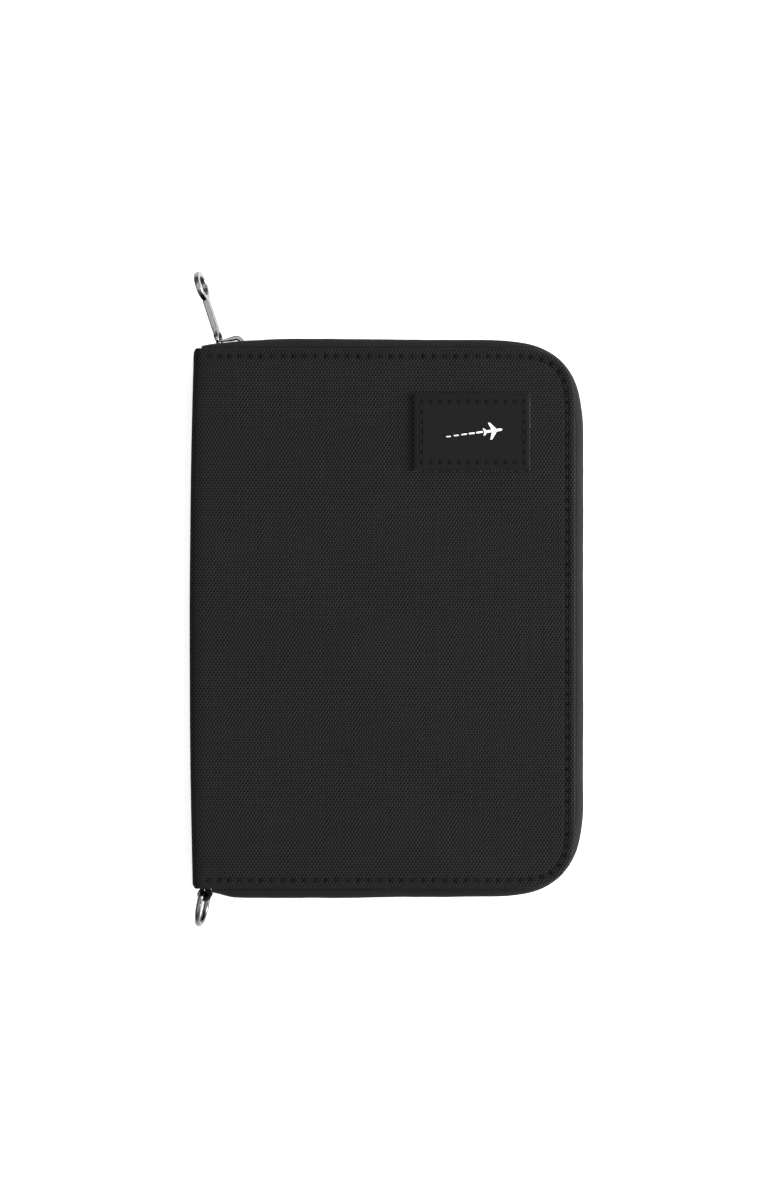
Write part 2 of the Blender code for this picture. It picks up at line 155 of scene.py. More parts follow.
def quarter_turn(directions):
    """Directions in a plane, turned 90 degrees anticlockwise."""
    return vectors(-directions[:, 1], directions[:, 0])


def lengths(points):
    """How far along a line each of its points is."""
    steps = np.linalg.norm(np.diff(points, axis=0), axis=1)
    return np.concatenate([[0.0], np.cumsum(steps)])


def resampled(points, step):
    """The same line with evenly spaced points about a step apart."""
    points = np.asarray(points, float)
    along = lengths(points)
    even = np.linspace(0, along[-1], max(int(round(along[-1] / step)), 2) + 1)
    return vectors(*(np.interp(even, along, column) for column in points.T))


def smooth_line(points, step, closed=False):
    """A Catmull-Rom curve through the points, evenly resampled."""
    points = np.asarray(points, float)
    if closed:
        padded = np.concatenate([points[-1:], points, points[:2]])
    else:
        padded = np.concatenate([2 * points[:1] - points[1:2], points, 2 * points[-1:] - points[-2:-1]])
    t = np.linspace(0, 1, 24, endpoint=False)[:, None]
    curve = [
        0.5 * (2 * b + (c - a) * t + (2 * a - 5 * b + 4 * c - d) * t**2 + (3 * b - a - 3 * c + d) * t**3)
        for a, b, c, d in zip(padded, padded[1:], padded[2:], padded[3:])
    ]
    return resampled(np.concatenate(curve + [padded[-2:-1]]), step)


def spaced(low, high, fine, coarse, margin, fine_at_low=True):
    """Grid lines from low to high, closer together along the high end and, if asked, along the low one."""
    start, end = low + margin if fine_at_low else low, high - margin
    middle = np.linspace(start, end, int(round((end - start) / coarse)) + 1)
    count = int(round(margin / fine)) + 1
    left = np.linspace(low, start, count)[:-1] if fine_at_low else []
    return np.concatenate([left, middle, np.linspace(end, high, count)[1:]])


def rounded_grid(xs, ys, corner, power, corners):
    """A grid over a rectangle whose named corners are superellipse quarters: (side in x, side in y)."""
    x, y = np.meshgrid(xs, ys)
    for side_x, side_y in corners:
        centre_x = (xs[-1] - corner) if side_x > 0 else (xs[0] + corner)
        centre_y = (ys[-1] - corner) if side_y > 0 else (ys[0] + corner)
        p = (x - centre_x) * side_x / corner
        q = (y - centre_y) * side_y / corner
        inside = (p > 0) & (q > 0)
        p, q = np.where(inside, p, 1.0), np.where(inside, q, 1.0)
        shrink = np.maximum(p, q) / (p**power + q**power) ** (1 / power)
        x = np.where(inside, centre_x + side_x * corner * p * shrink, x)
        y = np.where(inside, centre_y + side_y * corner * q * shrink, y)
    return x, y


def edge_path(corner, inset, step, top_x=SPINE_X, bottom_x=None):
    """Points and outward directions round a half from top_x: top, zip side, bottom to bottom_x or top_x."""
    size, power = corner
    angle = np.radians(np.linspace(90, 0, 240))
    across, up = np.cos(angle).clip(0) ** (2 / power), np.sin(angle).clip(0) ** (2 / power)
    upper = vectors(COVER_EDGE_X - size * (1 - across), HALF_HEIGHT - size * (1 - up))
    end = (top_x if bottom_x is None else bottom_x, -HALF_HEIGHT)
    line = np.concatenate([[(top_x, HALF_HEIGHT)], upper, upper[::-1] * (1, -1), [end]])
    fine = resampled(line, 0.25 * MM)
    path = resampled(fine - inset * unit(quarter_turn(np.gradient(fine, axis=0))), step)
    return path, unit(quarter_turn(np.gradient(path, axis=0)))


def distance_to(x, y, targets):
    """For each point of a flat grid, how far the nearest target is."""
    tree = KDTree(len(targets))
    for i, (target_x, target_y) in enumerate(targets):
        tree.insert((target_x, target_y, 0), i)
    tree.balance()
    return np.array([tree.find((*point, 0))[2] for point in zip(x.ravel(), y.ravel())]).reshape(x.shape)


def arc(centre_x, centre_y, radius, start, end, steps):
    """Points on a circle between two angles in degrees."""
    angles = np.radians(np.linspace(start, end, steps + 1))
    return [(centre_x + radius * math.cos(a), centre_y + radius * math.sin(a)) for a in angles]


def at_height(flat_points, z):
    """Plane points raised to a height."""
    return vectors(*np.transpose(flat_points), z)


def to_front(points):
    """Back-half points mirrored across mid-thickness into the front half."""
    return np.asarray(points) * (1, 1, -1) + (0, 0, THICKNESS)


# ---- meshes -----------------------------------------------------------------------------------

def link(name, data):
    obj = bpy.data.objects.new(name, data)
    bpy.context.scene.collection.objects.link(obj)
    return obj


def stands_for(obj, body, nodes):
    """The piece rides on a body and replaces CAD nodes."""
    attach(obj, body)
    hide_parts(*nodes)


def grid_faces(rows, columns, closed=False):
    """Quads of a rows x columns grid of points. A closed one joins its last column to its first."""
    i, j = np.meshgrid(np.arange(rows - 1), np.arange(columns if closed else columns - 1), indexing="ij")
    after = (j + 1) % columns
    quads = [i * columns + j, i * columns + after, (i + 1) * columns + after, (i + 1) * columns + j]
    return np.stack(quads, axis=-1).reshape(-1, 4)


def piece(name, points, faces, material, side="back", corner_uv=None, attributes=None, outward=False):
    """A mesh object from arrays. A front piece is given as its back-half mirror image."""
    faces = [tuple(face) for face in faces.tolist()] if isinstance(faces, np.ndarray) else faces
    if side == "front":
        points, faces = to_front(points), [face[::-1] for face in faces]
    mesh = bpy.data.meshes.new(name)
    mesh.from_pydata(points.tolist(), [], faces)
    if corner_uv is not None:
        corner_uv = corner_uv[:, ::-1] if side == "front" else corner_uv
        mesh.uv_layers.new(name="UVMap").data.foreach_set("uv", np.asarray(corner_uv, np.float32).ravel())
    for label, values in (attributes or {}).items():
        mesh.attributes.new(label, "FLOAT", "POINT").data.foreach_set("value", np.asarray(values, np.float32))
    if outward:
        bm = bmesh.new()
        bm.from_mesh(mesh)
        bmesh.ops.recalc_face_normals(bm, faces=bm.faces)
        bm.to_mesh(mesh)
        bm.free()
    mesh.shade_smooth()
    mesh.set_sharp_from_angle(angle=math.radians(50))
    mesh.materials.append(material)
    return link(name, mesh)


def tube(rings, loop=False):
    """(points, faces, corner uv) of closed rings (stations, around, 3), capped unless the tube is a loop.

    UVs are metres around and along."""
    points, around = rings.reshape(-1, 3), rings.shape[1]
    if loop:
        rings = np.concatenate([rings, rings[:1]])
    closed = np.concatenate([rings, rings[:, :1]], axis=1)
    across = np.linalg.norm(np.diff(closed, axis=1), axis=2).mean(axis=0)
    u = np.concatenate([[0.0], np.cumsum(across)])
    v = lengths(rings.mean(axis=1))
    faces = grid_faces(len(rings), around, closed=True)
    i, j = np.meshgrid(np.arange(len(rings) - 1), np.arange(around), indexing="ij")
    corners = [vectors(u[j + right], v[i + up]) for right, up in ((0, 0), (1, 0), (1, 1), (0, 1))]
    uv = np.stack(corners, axis=2).reshape(-1, 2)
    if loop:
        return points, faces % len(points), uv
    caps = [tuple(range(around))[::-1], tuple(range(len(points) - around, len(points)))]
    cap_uv = np.tile([u[0], v[0]], (2 * around, 1))
    return points, [tuple(face) for face in faces.tolist()] + caps, np.concatenate([uv, cap_uv])


def tube_piece(name, rings, material, side="back", loop=False):
    """A tube as an object. Its UVs are kept by giving the front half its own mirror image."""
    points, faces, uv = tube(to_front(rings) if side == "front" else rings, loop)
    return piece(name, points, faces, material, corner_uv=uv, outward=True)


def merged(shells):
    """The points and faces of several shells as one."""
    faces, start = [], 0
    for shell in shells:
        faces += [tuple(int(i) + start for i in face) for face in shell[1]]
        start += len(shell[0])
    return np.concatenate([shell[0] for shell in shells]), faces


def circle_rings(centres, across, along, radius, sides):
    """Rings of points round a line, in the plane of two unit vectors given at each point."""
    turn = np.linspace(0, 2 * math.pi, sides, endpoint=False)
    radius = np.broadcast_to(np.asarray(radius, float), (len(centres),))[:, None, None]
    circle = across[:, None] * np.cos(turn)[None, :, None] + along[:, None] * np.sin(turn)[None, :, None]
    return centres[:, None] + radius * circle


def frames_along(centres, reference):
    """Two unit vectors square to a line, the first as near as possible to square to the reference too."""
    tangent = tangents(centres)
    across = unit(np.cross(tangent, reference))
    return across, np.cross(tangent, across)


class Sheet:
    """Fabric under construction: a grid of points with inward normals, and strips grown off its edges."""

    def __init__(self, points, inward=(0.0, 0.0, -1.0), uv=None):
        self.rows, self.columns = points.shape[:2]
        self.points = points.reshape(-1, 3)
        self.inward = np.broadcast_to(inward, points.shape).reshape(-1, 3)
        self.uv = (points[..., :2] if uv is None else uv).reshape(-1, 2)
        self.faces = [grid_faces(self.rows, self.columns)]

    def chain(self, *sides):
        """Vertex numbers along grid sides, anticlockwise seen from outside."""
        rows, columns = np.arange(self.rows), np.arange(self.columns)
        runs = {
            "bottom": columns, "right": rows * self.columns + self.columns - 1,
            "top": (self.rows - 1) * self.columns + columns[::-1], "left": rows[::-1] * self.columns,
        }
        joined = np.concatenate([runs[side] for side in sides])
        return joined[np.concatenate([[True], np.diff(joined) != 0])]

    def grow(self, chain, profile):
        """Adds a strip outside a chain. The profile lists (distance out, distance in) for each new line."""
        base, inward = self.points[chain], self.inward[chain]
        out = unit(np.cross(inward, np.gradient(base, axis=0)))
        uv_out = -quarter_turn(np.gradient(self.uv[chain], axis=0))
        uv_out /= np.maximum(np.linalg.norm(uv_out, axis=1, keepdims=True), 1e-12)
        uv_out *= np.where((uv_out * out[:, :2]).sum(axis=1, keepdims=True) < 0, -1.0, 1.0)
        before, travelled, last = chain, 0.0, (0.0, 0.0)
        for away, into in profile:
            travelled += math.hypot(away - last[0], into - last[1])
            last = (away, into)
            new = np.arange(len(self.points), len(self.points) + len(chain))
            self.points = np.concatenate([self.points, base + out * away + inward * into])
            self.inward = np.concatenate([self.inward, inward])
            self.uv = np.concatenate([self.uv, self.uv[chain] + uv_out * travelled])
            self.faces.append(np.stack([before[:-1], new[:-1], new[1:], before[1:]], axis=1))
            before = new

    def build(self, name, material, side, thickness, attributes=None):
        faces = np.concatenate(self.faces)
        obj = piece(name, self.points, faces, material, side, self.uv[faces], attributes)
        solid = obj.modifiers.new("thickness", "SOLIDIFY")
        solid.thickness = thickness
        solid.offset = -1
        return obj


def hem(radius, depth):
    """The profile of an edge turned under: a half circle, then straight back in."""
    turn = [(radius * math.sin(a), radius * (1 - math.cos(a))) for a in np.arange(1, 7) * math.pi / 6]
    return turn + [(-depth * share, 2 * radius) for share in (0.3, 0.65, 1.0)]


def stitches(name, holes, up, material, side="back", body=None, radius=THREAD_RADIUS, lift=0.10 * MM,
             closed=False):
    """A lockstitch row: one short bowed length of thread between each hole and the next."""
    holes = np.asarray(holes, float)
    share = np.linspace(0.06, 0.94, 9)
    swell = np.sin(math.pi * share)
    bow = (lift + radius * 1.6) * swell**0.4 - radius * 1.3
    shells = []
    for start, end in list(zip(holes, np.roll(holes, -1, axis=0)))[: None if closed else -1]:
        centres = start + (end - start) * share[:, None] + np.multiply.outer(bow, up)
        rings = circle_rings(centres, *frames_along(centres, up), radius * (0.8 + 0.2 * swell**0.5), 7)
        shells.append(tube(rings))
    points, faces = merged(shells)
    uv = np.concatenate([shell[2] for shell in shells])
    thread = piece(name, to_front(points) if side == "front" else points, faces, material, corner_uv=uv,
                   outward=True)
    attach(thread, body or side)


# ---- materials --------------------------------------------------------------------------------

class Nodes:
    """One material's node tree. Each method that adds a node gives back its output socket."""

    def __init__(self, name, colour, roughness, **sockets):
        self.material = bpy.data.materials.new(name)
        self.material.use_nodes = True
        self.tree = self.material.node_tree
        self.shader = self.tree.nodes["Principled BSDF"]
        self.material.diffuse_color = (*colour, 1.0)
        for label, value in {"Base Color": (*colour, 1.0), "Roughness": roughness, **sockets}.items():
            self.shader.inputs[label.replace("_", " ")].default_value = value

    def plug(self, label, socket):
        self.tree.links.new(socket, self.shader.inputs[label])

    def add(self, kind, inputs=(), output=0, **settings):
        node = self.tree.nodes.new(kind)
        for key, value in settings.items():
            setattr(node, key, value)
        for key, value in dict(inputs).items():
            if isinstance(value, bpy.types.NodeSocket):
                self.tree.links.new(value, node.inputs[key])
            else:
                node.inputs[key].default_value = value
        return node.outputs[output]

    def math(self, operation, *values):
        return self.add("ShaderNodeMath", enumerate(values), operation=operation)

    def times(self, value, *others):
        for other in others:
            value = self.math("MULTIPLY", value, other)
        return value

    def uv(self):
        return self.add("ShaderNodeUVMap", uv_map="UVMap")

    def place(self):
        return self.add("ShaderNodeTexCoord", output="Object")

    def x_and_y(self, vector):
        node = self.add("ShaderNodeSeparateXYZ", {0: vector}).node
        return node.outputs[0], node.outputs[1]

    def noise(self, vector, scale, detail=2.0):
        """Noise at one scale, or at a scale for each axis."""
        if isinstance(scale, tuple):
            vector = self.add("ShaderNodeVectorMath", {0: vector, 1: scale}, operation="MULTIPLY")
            scale = 1.0
        inputs = {"Vector": vector, "Scale": scale, "Detail": detail}
        return self.add("ShaderNodeTexNoise", inputs, output="Fac")

    def remap(self, value, from_low, from_high, to_low=0.0, to_high=1.0):
        return self.add("ShaderNodeMapRange", {0: value, 1: from_low, 2: from_high, 3: to_low, 4: to_high})

    def spread(self, noise, low, high):
        """The usual range of a noise moved to low and high."""
        return self.remap(noise, 0.3, 0.7, low, high)

    def share(self, value, low, high):
        """A value from 0 to 1 moved to low and high."""
        return self.remap(value, 0.0, 1.0, low, high)

    def mix(self, factor, first, second):
        """A colour between two, where factor is a socket."""
        colours = [(*c, 1.0) if isinstance(c, tuple) else c for c in (first, second)]
        inputs = {0: factor, 6: colours[0], 7: colours[1]}
        return self.add("ShaderNodeMix", inputs, output=2, data_type="RGBA")

    def dent_and_shade(self, dark):
        """Painted shade: darkens where the mesh says a stitch pulls the cloth in, and on the cover near the
        spine's fold.
        """
        socket = self.add("ShaderNodeAttribute", output="Fac", attribute_name="dent_and_shade")
        return self.remap(socket, 0.0, 0.8, 1.0, dark)

    def finish(self, colour, roughness=None, height=None, distance=0.0, strength=0.0):
        """Plugs in what varies over the surface, and gives back the material.

        A colour is a socket or (tint, grey socket). The distance is in millimetres."""
        if isinstance(colour, tuple):
            colour = self.add("ShaderNodeVectorMath", {0: colour[0], 3: colour[1]}, operation="SCALE")
        self.plug("Base Color", colour)
        if roughness is not None:
            self.plug("Roughness", roughness)
        if height is not None:
            inputs = {"Height": height, "Distance": distance * MM, "Strength": strength}
            self.plug("Normal", self.add("ShaderNodeBump", inputs))
        return self.material


def weave(kit, vector, warp_pitch, weft_pitch, crimp=0.55):
    """Plain weave: the height of the upper thread, 0 to 1, and 1 where that thread is the warp."""
    x, y = kit.x_and_y(vector)
    u, v = kit.math("DIVIDE", x, warp_pitch), kit.math("DIVIDE", y, weft_pitch)

    def thread(across, along, shift):
        centred = kit.math("MULTIPLY_ADD", kit.math("FRACT", across), 2.0, -1.0)
        rounded = kit.math("SUBTRACT", 1.0, kit.times(centred, centred))
        phase = kit.math("ADD", along, kit.math("FLOOR", across))
        wave = kit.math("SINE", kit.math("MULTIPLY_ADD", phase, math.pi, shift))
        return kit.math("MULTIPLY_ADD", wave, crimp, rounded)

    warp, weft = thread(u, v, 0.0), thread(v, u, math.pi)
    height = kit.remap(kit.math("MAXIMUM", warp, weft), 0.15, 1 + crimp)
    return height, kit.math("GREATER_THAN", warp, weft)


def make_cover_fabric():
    """Black plain-weave polyester: painted highlight on the crowns, painted shade in the gaps, slightly
    uneven threads and a painted slanted glint.
    """
    kit = Nodes("cover_fabric", (0.0105, 0.0101, 0.0103), 0.72, Sheen_Weight=0.008, Sheen_Roughness=0.45,
                Specular_IOR_Level=0.04)
    uv = kit.uv()
    height, is_warp = weave(kit, uv, COVER_WARP, COVER_WEFT)
    x, y = kit.x_and_y(uv)
    warps, wefts = kit.times(x, math.pi / COVER_WARP), kit.times(y, math.pi / COVER_WEFT)
    # Painted glint: slanted bright streaks in the colour, standing in for the twisted yarns' highlights.
    rising = kit.math("SINE", kit.math("SUBTRACT", warps, wefts))
    falling = kit.math("SINE", kit.math("ADD", warps, wefts))
    painted_glint = kit.math("ADD", kit.math("MULTIPLY_ADD", rising, 0.68, 1.0), kit.times(falling, 0.22))
    yarns = kit.spread(kit.noise(uv, (2100.0, 60.0, 1.0), 1.0), 0.94, 1.07)
    picks = kit.spread(kit.noise(uv, (50.0, 1300.0, 1.0), 1.0), 0.95, 1.06)
    slow = kit.times(yarns, picks, kit.spread(kit.noise(uv, 38.0, 3.0), 0.95, 1.05))
    thread = kit.times(slow, painted_glint, kit.share(is_warp, 0.9, 1.1))
    # Painted highlight on the weave's crowns, painted shade in its gaps and in the stitch holes.
    grey = kit.times(thread, kit.share(height, 0.42, 1.46), kit.dent_and_shade(0.08))
    fibres = kit.math("MULTIPLY_ADD", kit.noise(uv, (9000.0, 9000.0, 1.0)), 0.22, height)
    return kit.finish(((0.0089, 0.0085, 0.0087), grey), kit.share(height, 0.95, 0.62), fibres, 0.13, 0.9)


def make_lining_fabric():
    """Mid-grey nylon taffeta with a faint ripstop square every 5 mm."""
    kit = Nodes("lining_fabric", (0.085, 0.089, 0.097), 0.6, Sheen_Weight=0.12, Sheen_Roughness=0.4,
                Specular_IOR_Level=0.35)
    uv = kit.uv()
    height, is_warp = weave(kit, uv, 0.26 * MM, 0.30 * MM)
    lines = [kit.math("LESS_THAN", kit.math("FRACT", kit.math("DIVIDE", axis, 5.0 * MM)), 0.085)
             for axis in kit.x_and_y(uv)]
    rip = kit.math("MAXIMUM", *lines)
    # Painted highlight on the weave's crowns and painted shade in its gaps.
    grey = kit.times(kit.share(height, 0.55, 1.22), kit.spread(kit.noise(uv, 45.0, 3.0), 0.92, 1.08),
                     kit.share(is_warp, 0.93, 1.06), kit.share(rip, 1.0, 1.22))
    lumps = kit.math("MULTIPLY_ADD", rip, 0.8, height)
    return kit.finish(((0.083, 0.087, 0.096), grey), kit.share(height, 0.8, 0.5), lumps, 0.07, 0.9)


def make_tape_fabric(name, colour, rib_pitch, across):
    """Narrow woven tape with a herringbone of fine ribs. across says whether the ribs cross its length."""
    kit = Nodes(name, colour, 0.7, Sheen_Weight=0.012, Sheen_Roughness=0.45, Specular_IOR_Level=0.05)
    uv = kit.uv()
    side, along = kit.x_and_y(uv)[:: -1 if across else 1]
    bend = kit.math("PINGPONG", side, 0.9 * MM)
    ribs = kit.math("SINE", kit.times(kit.math("ADD", along, bend), 2 * math.pi / rib_pitch))
    rows = kit.math("SINE", kit.times(side, 2 * math.pi / (0.42 * MM)))
    height = kit.math("MULTIPLY_ADD", rows, 0.22, kit.math("MULTIPLY_ADD", ribs, 0.28, 0.5))
    height = kit.math("MULTIPLY_ADD", kit.noise(uv, 5200.0), 0.2, height)
    # Painted highlight on the raised ribs and painted shade in the grooves between them.
    grey = kit.times(kit.remap(height, 0.0, 1.2, 0.45, 1.5), kit.spread(kit.noise(uv, 60.0, 3.0), 0.88, 1.12))
    return kit.finish((colour, grey), kit.remap(height, 0.0, 1.2, 0.9, 0.6), height, 0.08, 0.9)


def make_coil_plastic():
    """Polyester monofilament: satin, with fine die lines along the wire."""
    kit = Nodes("coil_plastic", (0.014, 0.014, 0.015), 0.34, Specular_IOR_Level=0.5)
    uv = kit.uv()
    lines = kit.noise(uv, (14000.0, 500.0, 1.0))
    colour = kit.mix(kit.noise(uv, 900.0), (0.010, 0.010, 0.011), (0.021, 0.021, 0.022))
    return kit.finish(colour, kit.spread(lines, 0.26, 0.46), lines, 0.01, 0.6)


def make_thread(name, dark, light):
    """Two-ply polyester thread: twisted plies, with painted shade in the groove between them."""
    kit = Nodes(name, (light,) * 3, 0.65, Sheen_Weight=0.01, Specular_IOR_Level=0.05)
    x, y = kit.x_and_y(kit.uv())
    turn = kit.math("ADD", kit.times(y, 2 * math.pi / (0.55 * MM)), kit.times(x, 2 * math.pi / (0.5 * MM)))
    ply = kit.remap(kit.math("SINE", turn), -1.0, 1.0)
    return kit.finish(kit.mix(ply, (dark,) * 3, (light,) * 3), None, ply, 0.05, 0.8)


def make_metal(name, light, dark, roughness):
    """Polished plating: faint clouding, hairline scratches and pits that dull the shine."""
    kit = Nodes(name, light, roughness, Metallic=1.0)
    place = kit.place()
    cloud = kit.noise(place, 260.0, 3.0)
    hair = kit.noise(place, (400.0, 5200.0, 5200.0))
    dull = kit.math("MULTIPLY_ADD", kit.remap(hair, 0.62, 0.75), 0.16,
                    kit.spread(cloud, roughness - 0.06, roughness + 0.08))
    pits = kit.remap(kit.noise(place, 1900.0, 1.0), 0.66, 0.95, 0.0, -0.12)
    height = kit.math("MULTIPLY_ADD", kit.remap(hair, 0.6, 0.75), -0.35, pits)
    return kit.finish(kit.mix(kit.remap(cloud, 0.35, 0.65), dark, light), dull, height, 0.005, 0.4)


def make_label_material():
    """Smooth matt label: a very fine satin face that picks up a slight sheen."""
    kit = Nodes("label_face", (0.0070, 0.0070, 0.0071), 0.62, Specular_IOR_Level=0.05, Sheen_Weight=0.01)
    uv = kit.uv()
    height, _ = weave(kit, uv, 0.16 * MM, 0.19 * MM)
    broad = kit.noise(uv, 120.0, 4.0)
    # Painted highlight on the weave's crowns, painted shade in its gaps and in the stitch holes.
    grey = kit.times(kit.share(height, 0.84, 1.1), kit.spread(broad, 0.9, 1.1), kit.dent_and_shade(0.1))
    return kit.finish(((0.0062, 0.0062, 0.0063), grey), kit.spread(broad, 0.55, 0.7), height, 0.02, 0.5)


def make_print_ink():
    """White screen print, a little thin where the cloth shows through."""
    kit = Nodes("print_white", (0.82, 0.82, 0.81), 0.5)
    grain = kit.noise(kit.place(), 2600.0, 3.0)
    colour = kit.mix(kit.remap(grain, 0.35, 0.6), (0.55, 0.55, 0.54), (0.87, 0.87, 0.86))
    return kit.finish(colour, None, grain, 0.01, 0.5)


def make_fray_highlight():
    """Cut ends of the label's yarns, coloured pale as a painted highlight along the label's edge."""
    kit = Nodes("label_fray_highlight", (0.20, 0.20, 0.20), 0.7, Sheen_Weight=0.3)
    grain = kit.remap(kit.noise(kit.place(), 1500.0), 0.35, 0.65)
    return kit.finish(kit.mix(grain, (0.02, 0.02, 0.02), (0.17, 0.17, 0.165)))


def make_card():
    """Grey chipboard with short fibres and specks."""
    kit = Nodes("chipboard", (0.35, 0.33, 0.30), 0.9)
    place = kit.place()
    fibres = kit.noise(place, (700.0, 160.0, 700.0), 4.0)
    specks = kit.remap(kit.noise(place, 1400.0), 0.66, 0.72)
    base = kit.mix(kit.remap(fibres, 0.35, 0.65), (0.27, 0.25, 0.22), (0.42, 0.40, 0.36))
    return kit.finish(kit.mix(specks, base, (0.10, 0.09, 0.08)), None, fibres, 0.05, 0.6)


def make_foil():
    """Crinkled metallised film."""
    kit = Nodes("shield_foil", (0.62, 0.62, 0.64), 0.3, Metallic=1.0)
    place = kit.place()
    crinkle = kit.add("ShaderNodeTexVoronoi", {"Vector": place, "Scale": 240.0}, output="Distance",
                      feature="DISTANCE_TO_EDGE")
    cloud = kit.noise(place, 90.0, 4.0)
    colour = kit.mix(cloud, (0.50, 0.50, 0.52), (0.72, 0.72, 0.74))
    return kit.finish(colour, kit.spread(cloud, 0.2, 0.42), crinkle, 0.1, 0.6)


COVER_FABRIC = make_cover_fabric()
LINING_FABRIC = make_lining_fabric()
ZIP_TAPE = make_tape_fabric("zip_tape", (0.0105, 0.0103, 0.0105), 0.55 * MM, across=False)
BINDING_TAPE = make_tape_fabric("binding_tape", (0.0095, 0.0095, 0.0098), 0.8 * MM, across=True)
COIL_PLASTIC = make_coil_plastic()
THREAD = make_thread("cover_thread", 0.004, 0.012)
LINING_THREAD = make_thread("lining_thread", 0.03, 0.075)
METAL = make_metal("gunmetal", (0.20, 0.20, 0.204), (0.14, 0.14, 0.143), 0.2)
# A darker copy of the gunmetal: painted shade on the D-ring and the zip clamps.
SHADED_GUNMETAL = make_metal("gunmetal_painted_shade", (0.13, 0.13, 0.132), (0.085, 0.085, 0.087), 0.22)
LABEL_FACE = make_label_material()
PRINT_INK = make_print_ink()
FRAY_HIGHLIGHT = make_fray_highlight()
CHIPBOARD = make_card()
FOIL = make_foil()


# ---- outer fabric -----------------------------------------------------------------------------

def cover_puff(x, y):
    """How far the fabric stands off the board: half from a formula, half from a cloth simulation.
"""
    settle = PUFF * (0.75 + 0.25 * ripple(x, y, 55 * MM, 2)) + 0.05 * MM * ripple(x, y, 22 * MM, 5)
    return settle * 0.5 + simulated_puff(x, y)


def simulated_puff(x, y):
    """Blows a slack sheet, pinned along its edges, and gives its height at each point."""
    scale, frames = 10.0, 20
    xs = np.linspace(SPINE_X + 1 * MM, COVER_EDGE_X - STITCH_INSET, 44) * scale
    ys = np.linspace(-HALF_HEIGHT + STITCH_INSET, HALF_HEIGHT - STITCH_INSET, 60) * scale
    grid_x, grid_y = np.meshgrid(xs, ys)
    points = vectors(grid_x, grid_y, 0.002 * ripple(grid_x, grid_y, 0.35, 9)).reshape(-1, 3)
    sheet = piece("cover_simulation", points, grid_faces(len(ys), len(xs)), COVER_FABRIC)
    edge = np.ones(grid_x.shape, bool)
    edge[1:-1, 1:-1] = False
    pins = sheet.vertex_groups.new(name="pins")
    pins.add(np.flatnonzero(edge.ravel()).tolist(), 1.0, "REPLACE")
    cloth = sheet.modifiers.new("cloth", "CLOTH")
    settings = {
        "vertex_group_mass": "pins", "quality": 6, "mass": 0.3, "tension_stiffness": 20,
        "compression_stiffness": 20, "bending_stiffness": 2.0, "shrink_min": -0.004, "use_pressure": True,
        "uniform_pressure_force": 0.6,
    }
    for key, value in settings.items():
        setattr(cloth.settings, key, value)
    cloth.settings.effector_weights.gravity = 0.0
    cloth.point_cache.frame_start, cloth.point_cache.frame_end = 1, frames
    scene = bpy.context.scene
    for number in range(1, frames + 1):
        scene.frame_set(number)
    evaluated = sheet.evaluated_get(bpy.context.evaluated_depsgraph_get())
    height = np.array([v.co.z for v in evaluated.data.vertices]).reshape(grid_x.shape)
    scene.frame_set(1)
    bpy.data.objects.remove(sheet)
    height = height / max(np.abs(height).max(), 1e-9) * PUFF
    column = np.interp(x * scale, xs, np.arange(len(xs)))
    row = np.interp(y * scale, ys, np.arange(len(ys)))
    c, r = np.minimum(column.astype(int), len(xs) - 2), np.minimum(row.astype(int), len(ys) - 2)
    fc, fr = column - c, row - r
    return (height[r, c] * (1 - fc) * (1 - fr) + height[r, c + 1] * fc * (1 - fr)
            + height[r + 1, c] * (1 - fc) * fr + height[r + 1, c + 1] * fc * fr)


def spine_shift(x, y):
    """How far the spine's fold sits in from its furthest point: barrelled, with rounded ends."""
    barrel = SPINE_BARREL * ((y + 5 * MM) / (80 * MM)) ** 2
    overrun = np.clip(np.abs(y) - (HALF_HEIGHT - SPINE_END_RADIUS), 0, SPINE_END_RADIUS)
    rounded = SPINE_END_RADIUS - np.sqrt(SPINE_END_RADIUS**2 - overrun**2)
    fade = 1 - smoothstep(SPINE_X, SPINE_X + 16 * MM, x)
    near = 1 - smoothstep(SPINE_X, SPINE_X + 3 * MM, x)
    return barrel * fade + rounded * near


def beside(strip, face):
    """Values along the spine's strip of columns, then a grid of them over the face."""
    return np.concatenate([np.broadcast_to(strip, (len(face), *strip.shape[1:])), face], axis=1)


def blend_over_spine(obj, side, kind, on_spine, on_half):
    """Bakes the piece's placement into its mesh and hides the CAD nodes it replaces; the points on the spine
    and on the half are not used.
    """
    if side == "front":
        on_spine, on_half = to_front(on_spine), to_front(on_half)
        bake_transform(obj)
        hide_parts(f"front_{kind}", f"spine_{kind}")
    else:
        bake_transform(obj)
        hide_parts(f"back_{kind}")


def half_grid(left, inset, edge_inset, corner, fine, coarse):
    """A half's face as a grid, finer along its three zip sides, and how far inside the edge each point is."""
    right, half, margin = COVER_EDGE_X - inset, HALF_HEIGHT - inset, 4.8 * MM
    xs = spaced(left, right, fine, coarse, margin, fine_at_low=False)
    ys = spaced(-half, half, fine, coarse, margin)
    x, y = rounded_grid(xs, ys, corner[0] - inset, corner[1], [(1, 1), (1, -1)])
    return x, y, distance_to(x, y, edge_path(corner, edge_inset, 0.3 * MM)[0])


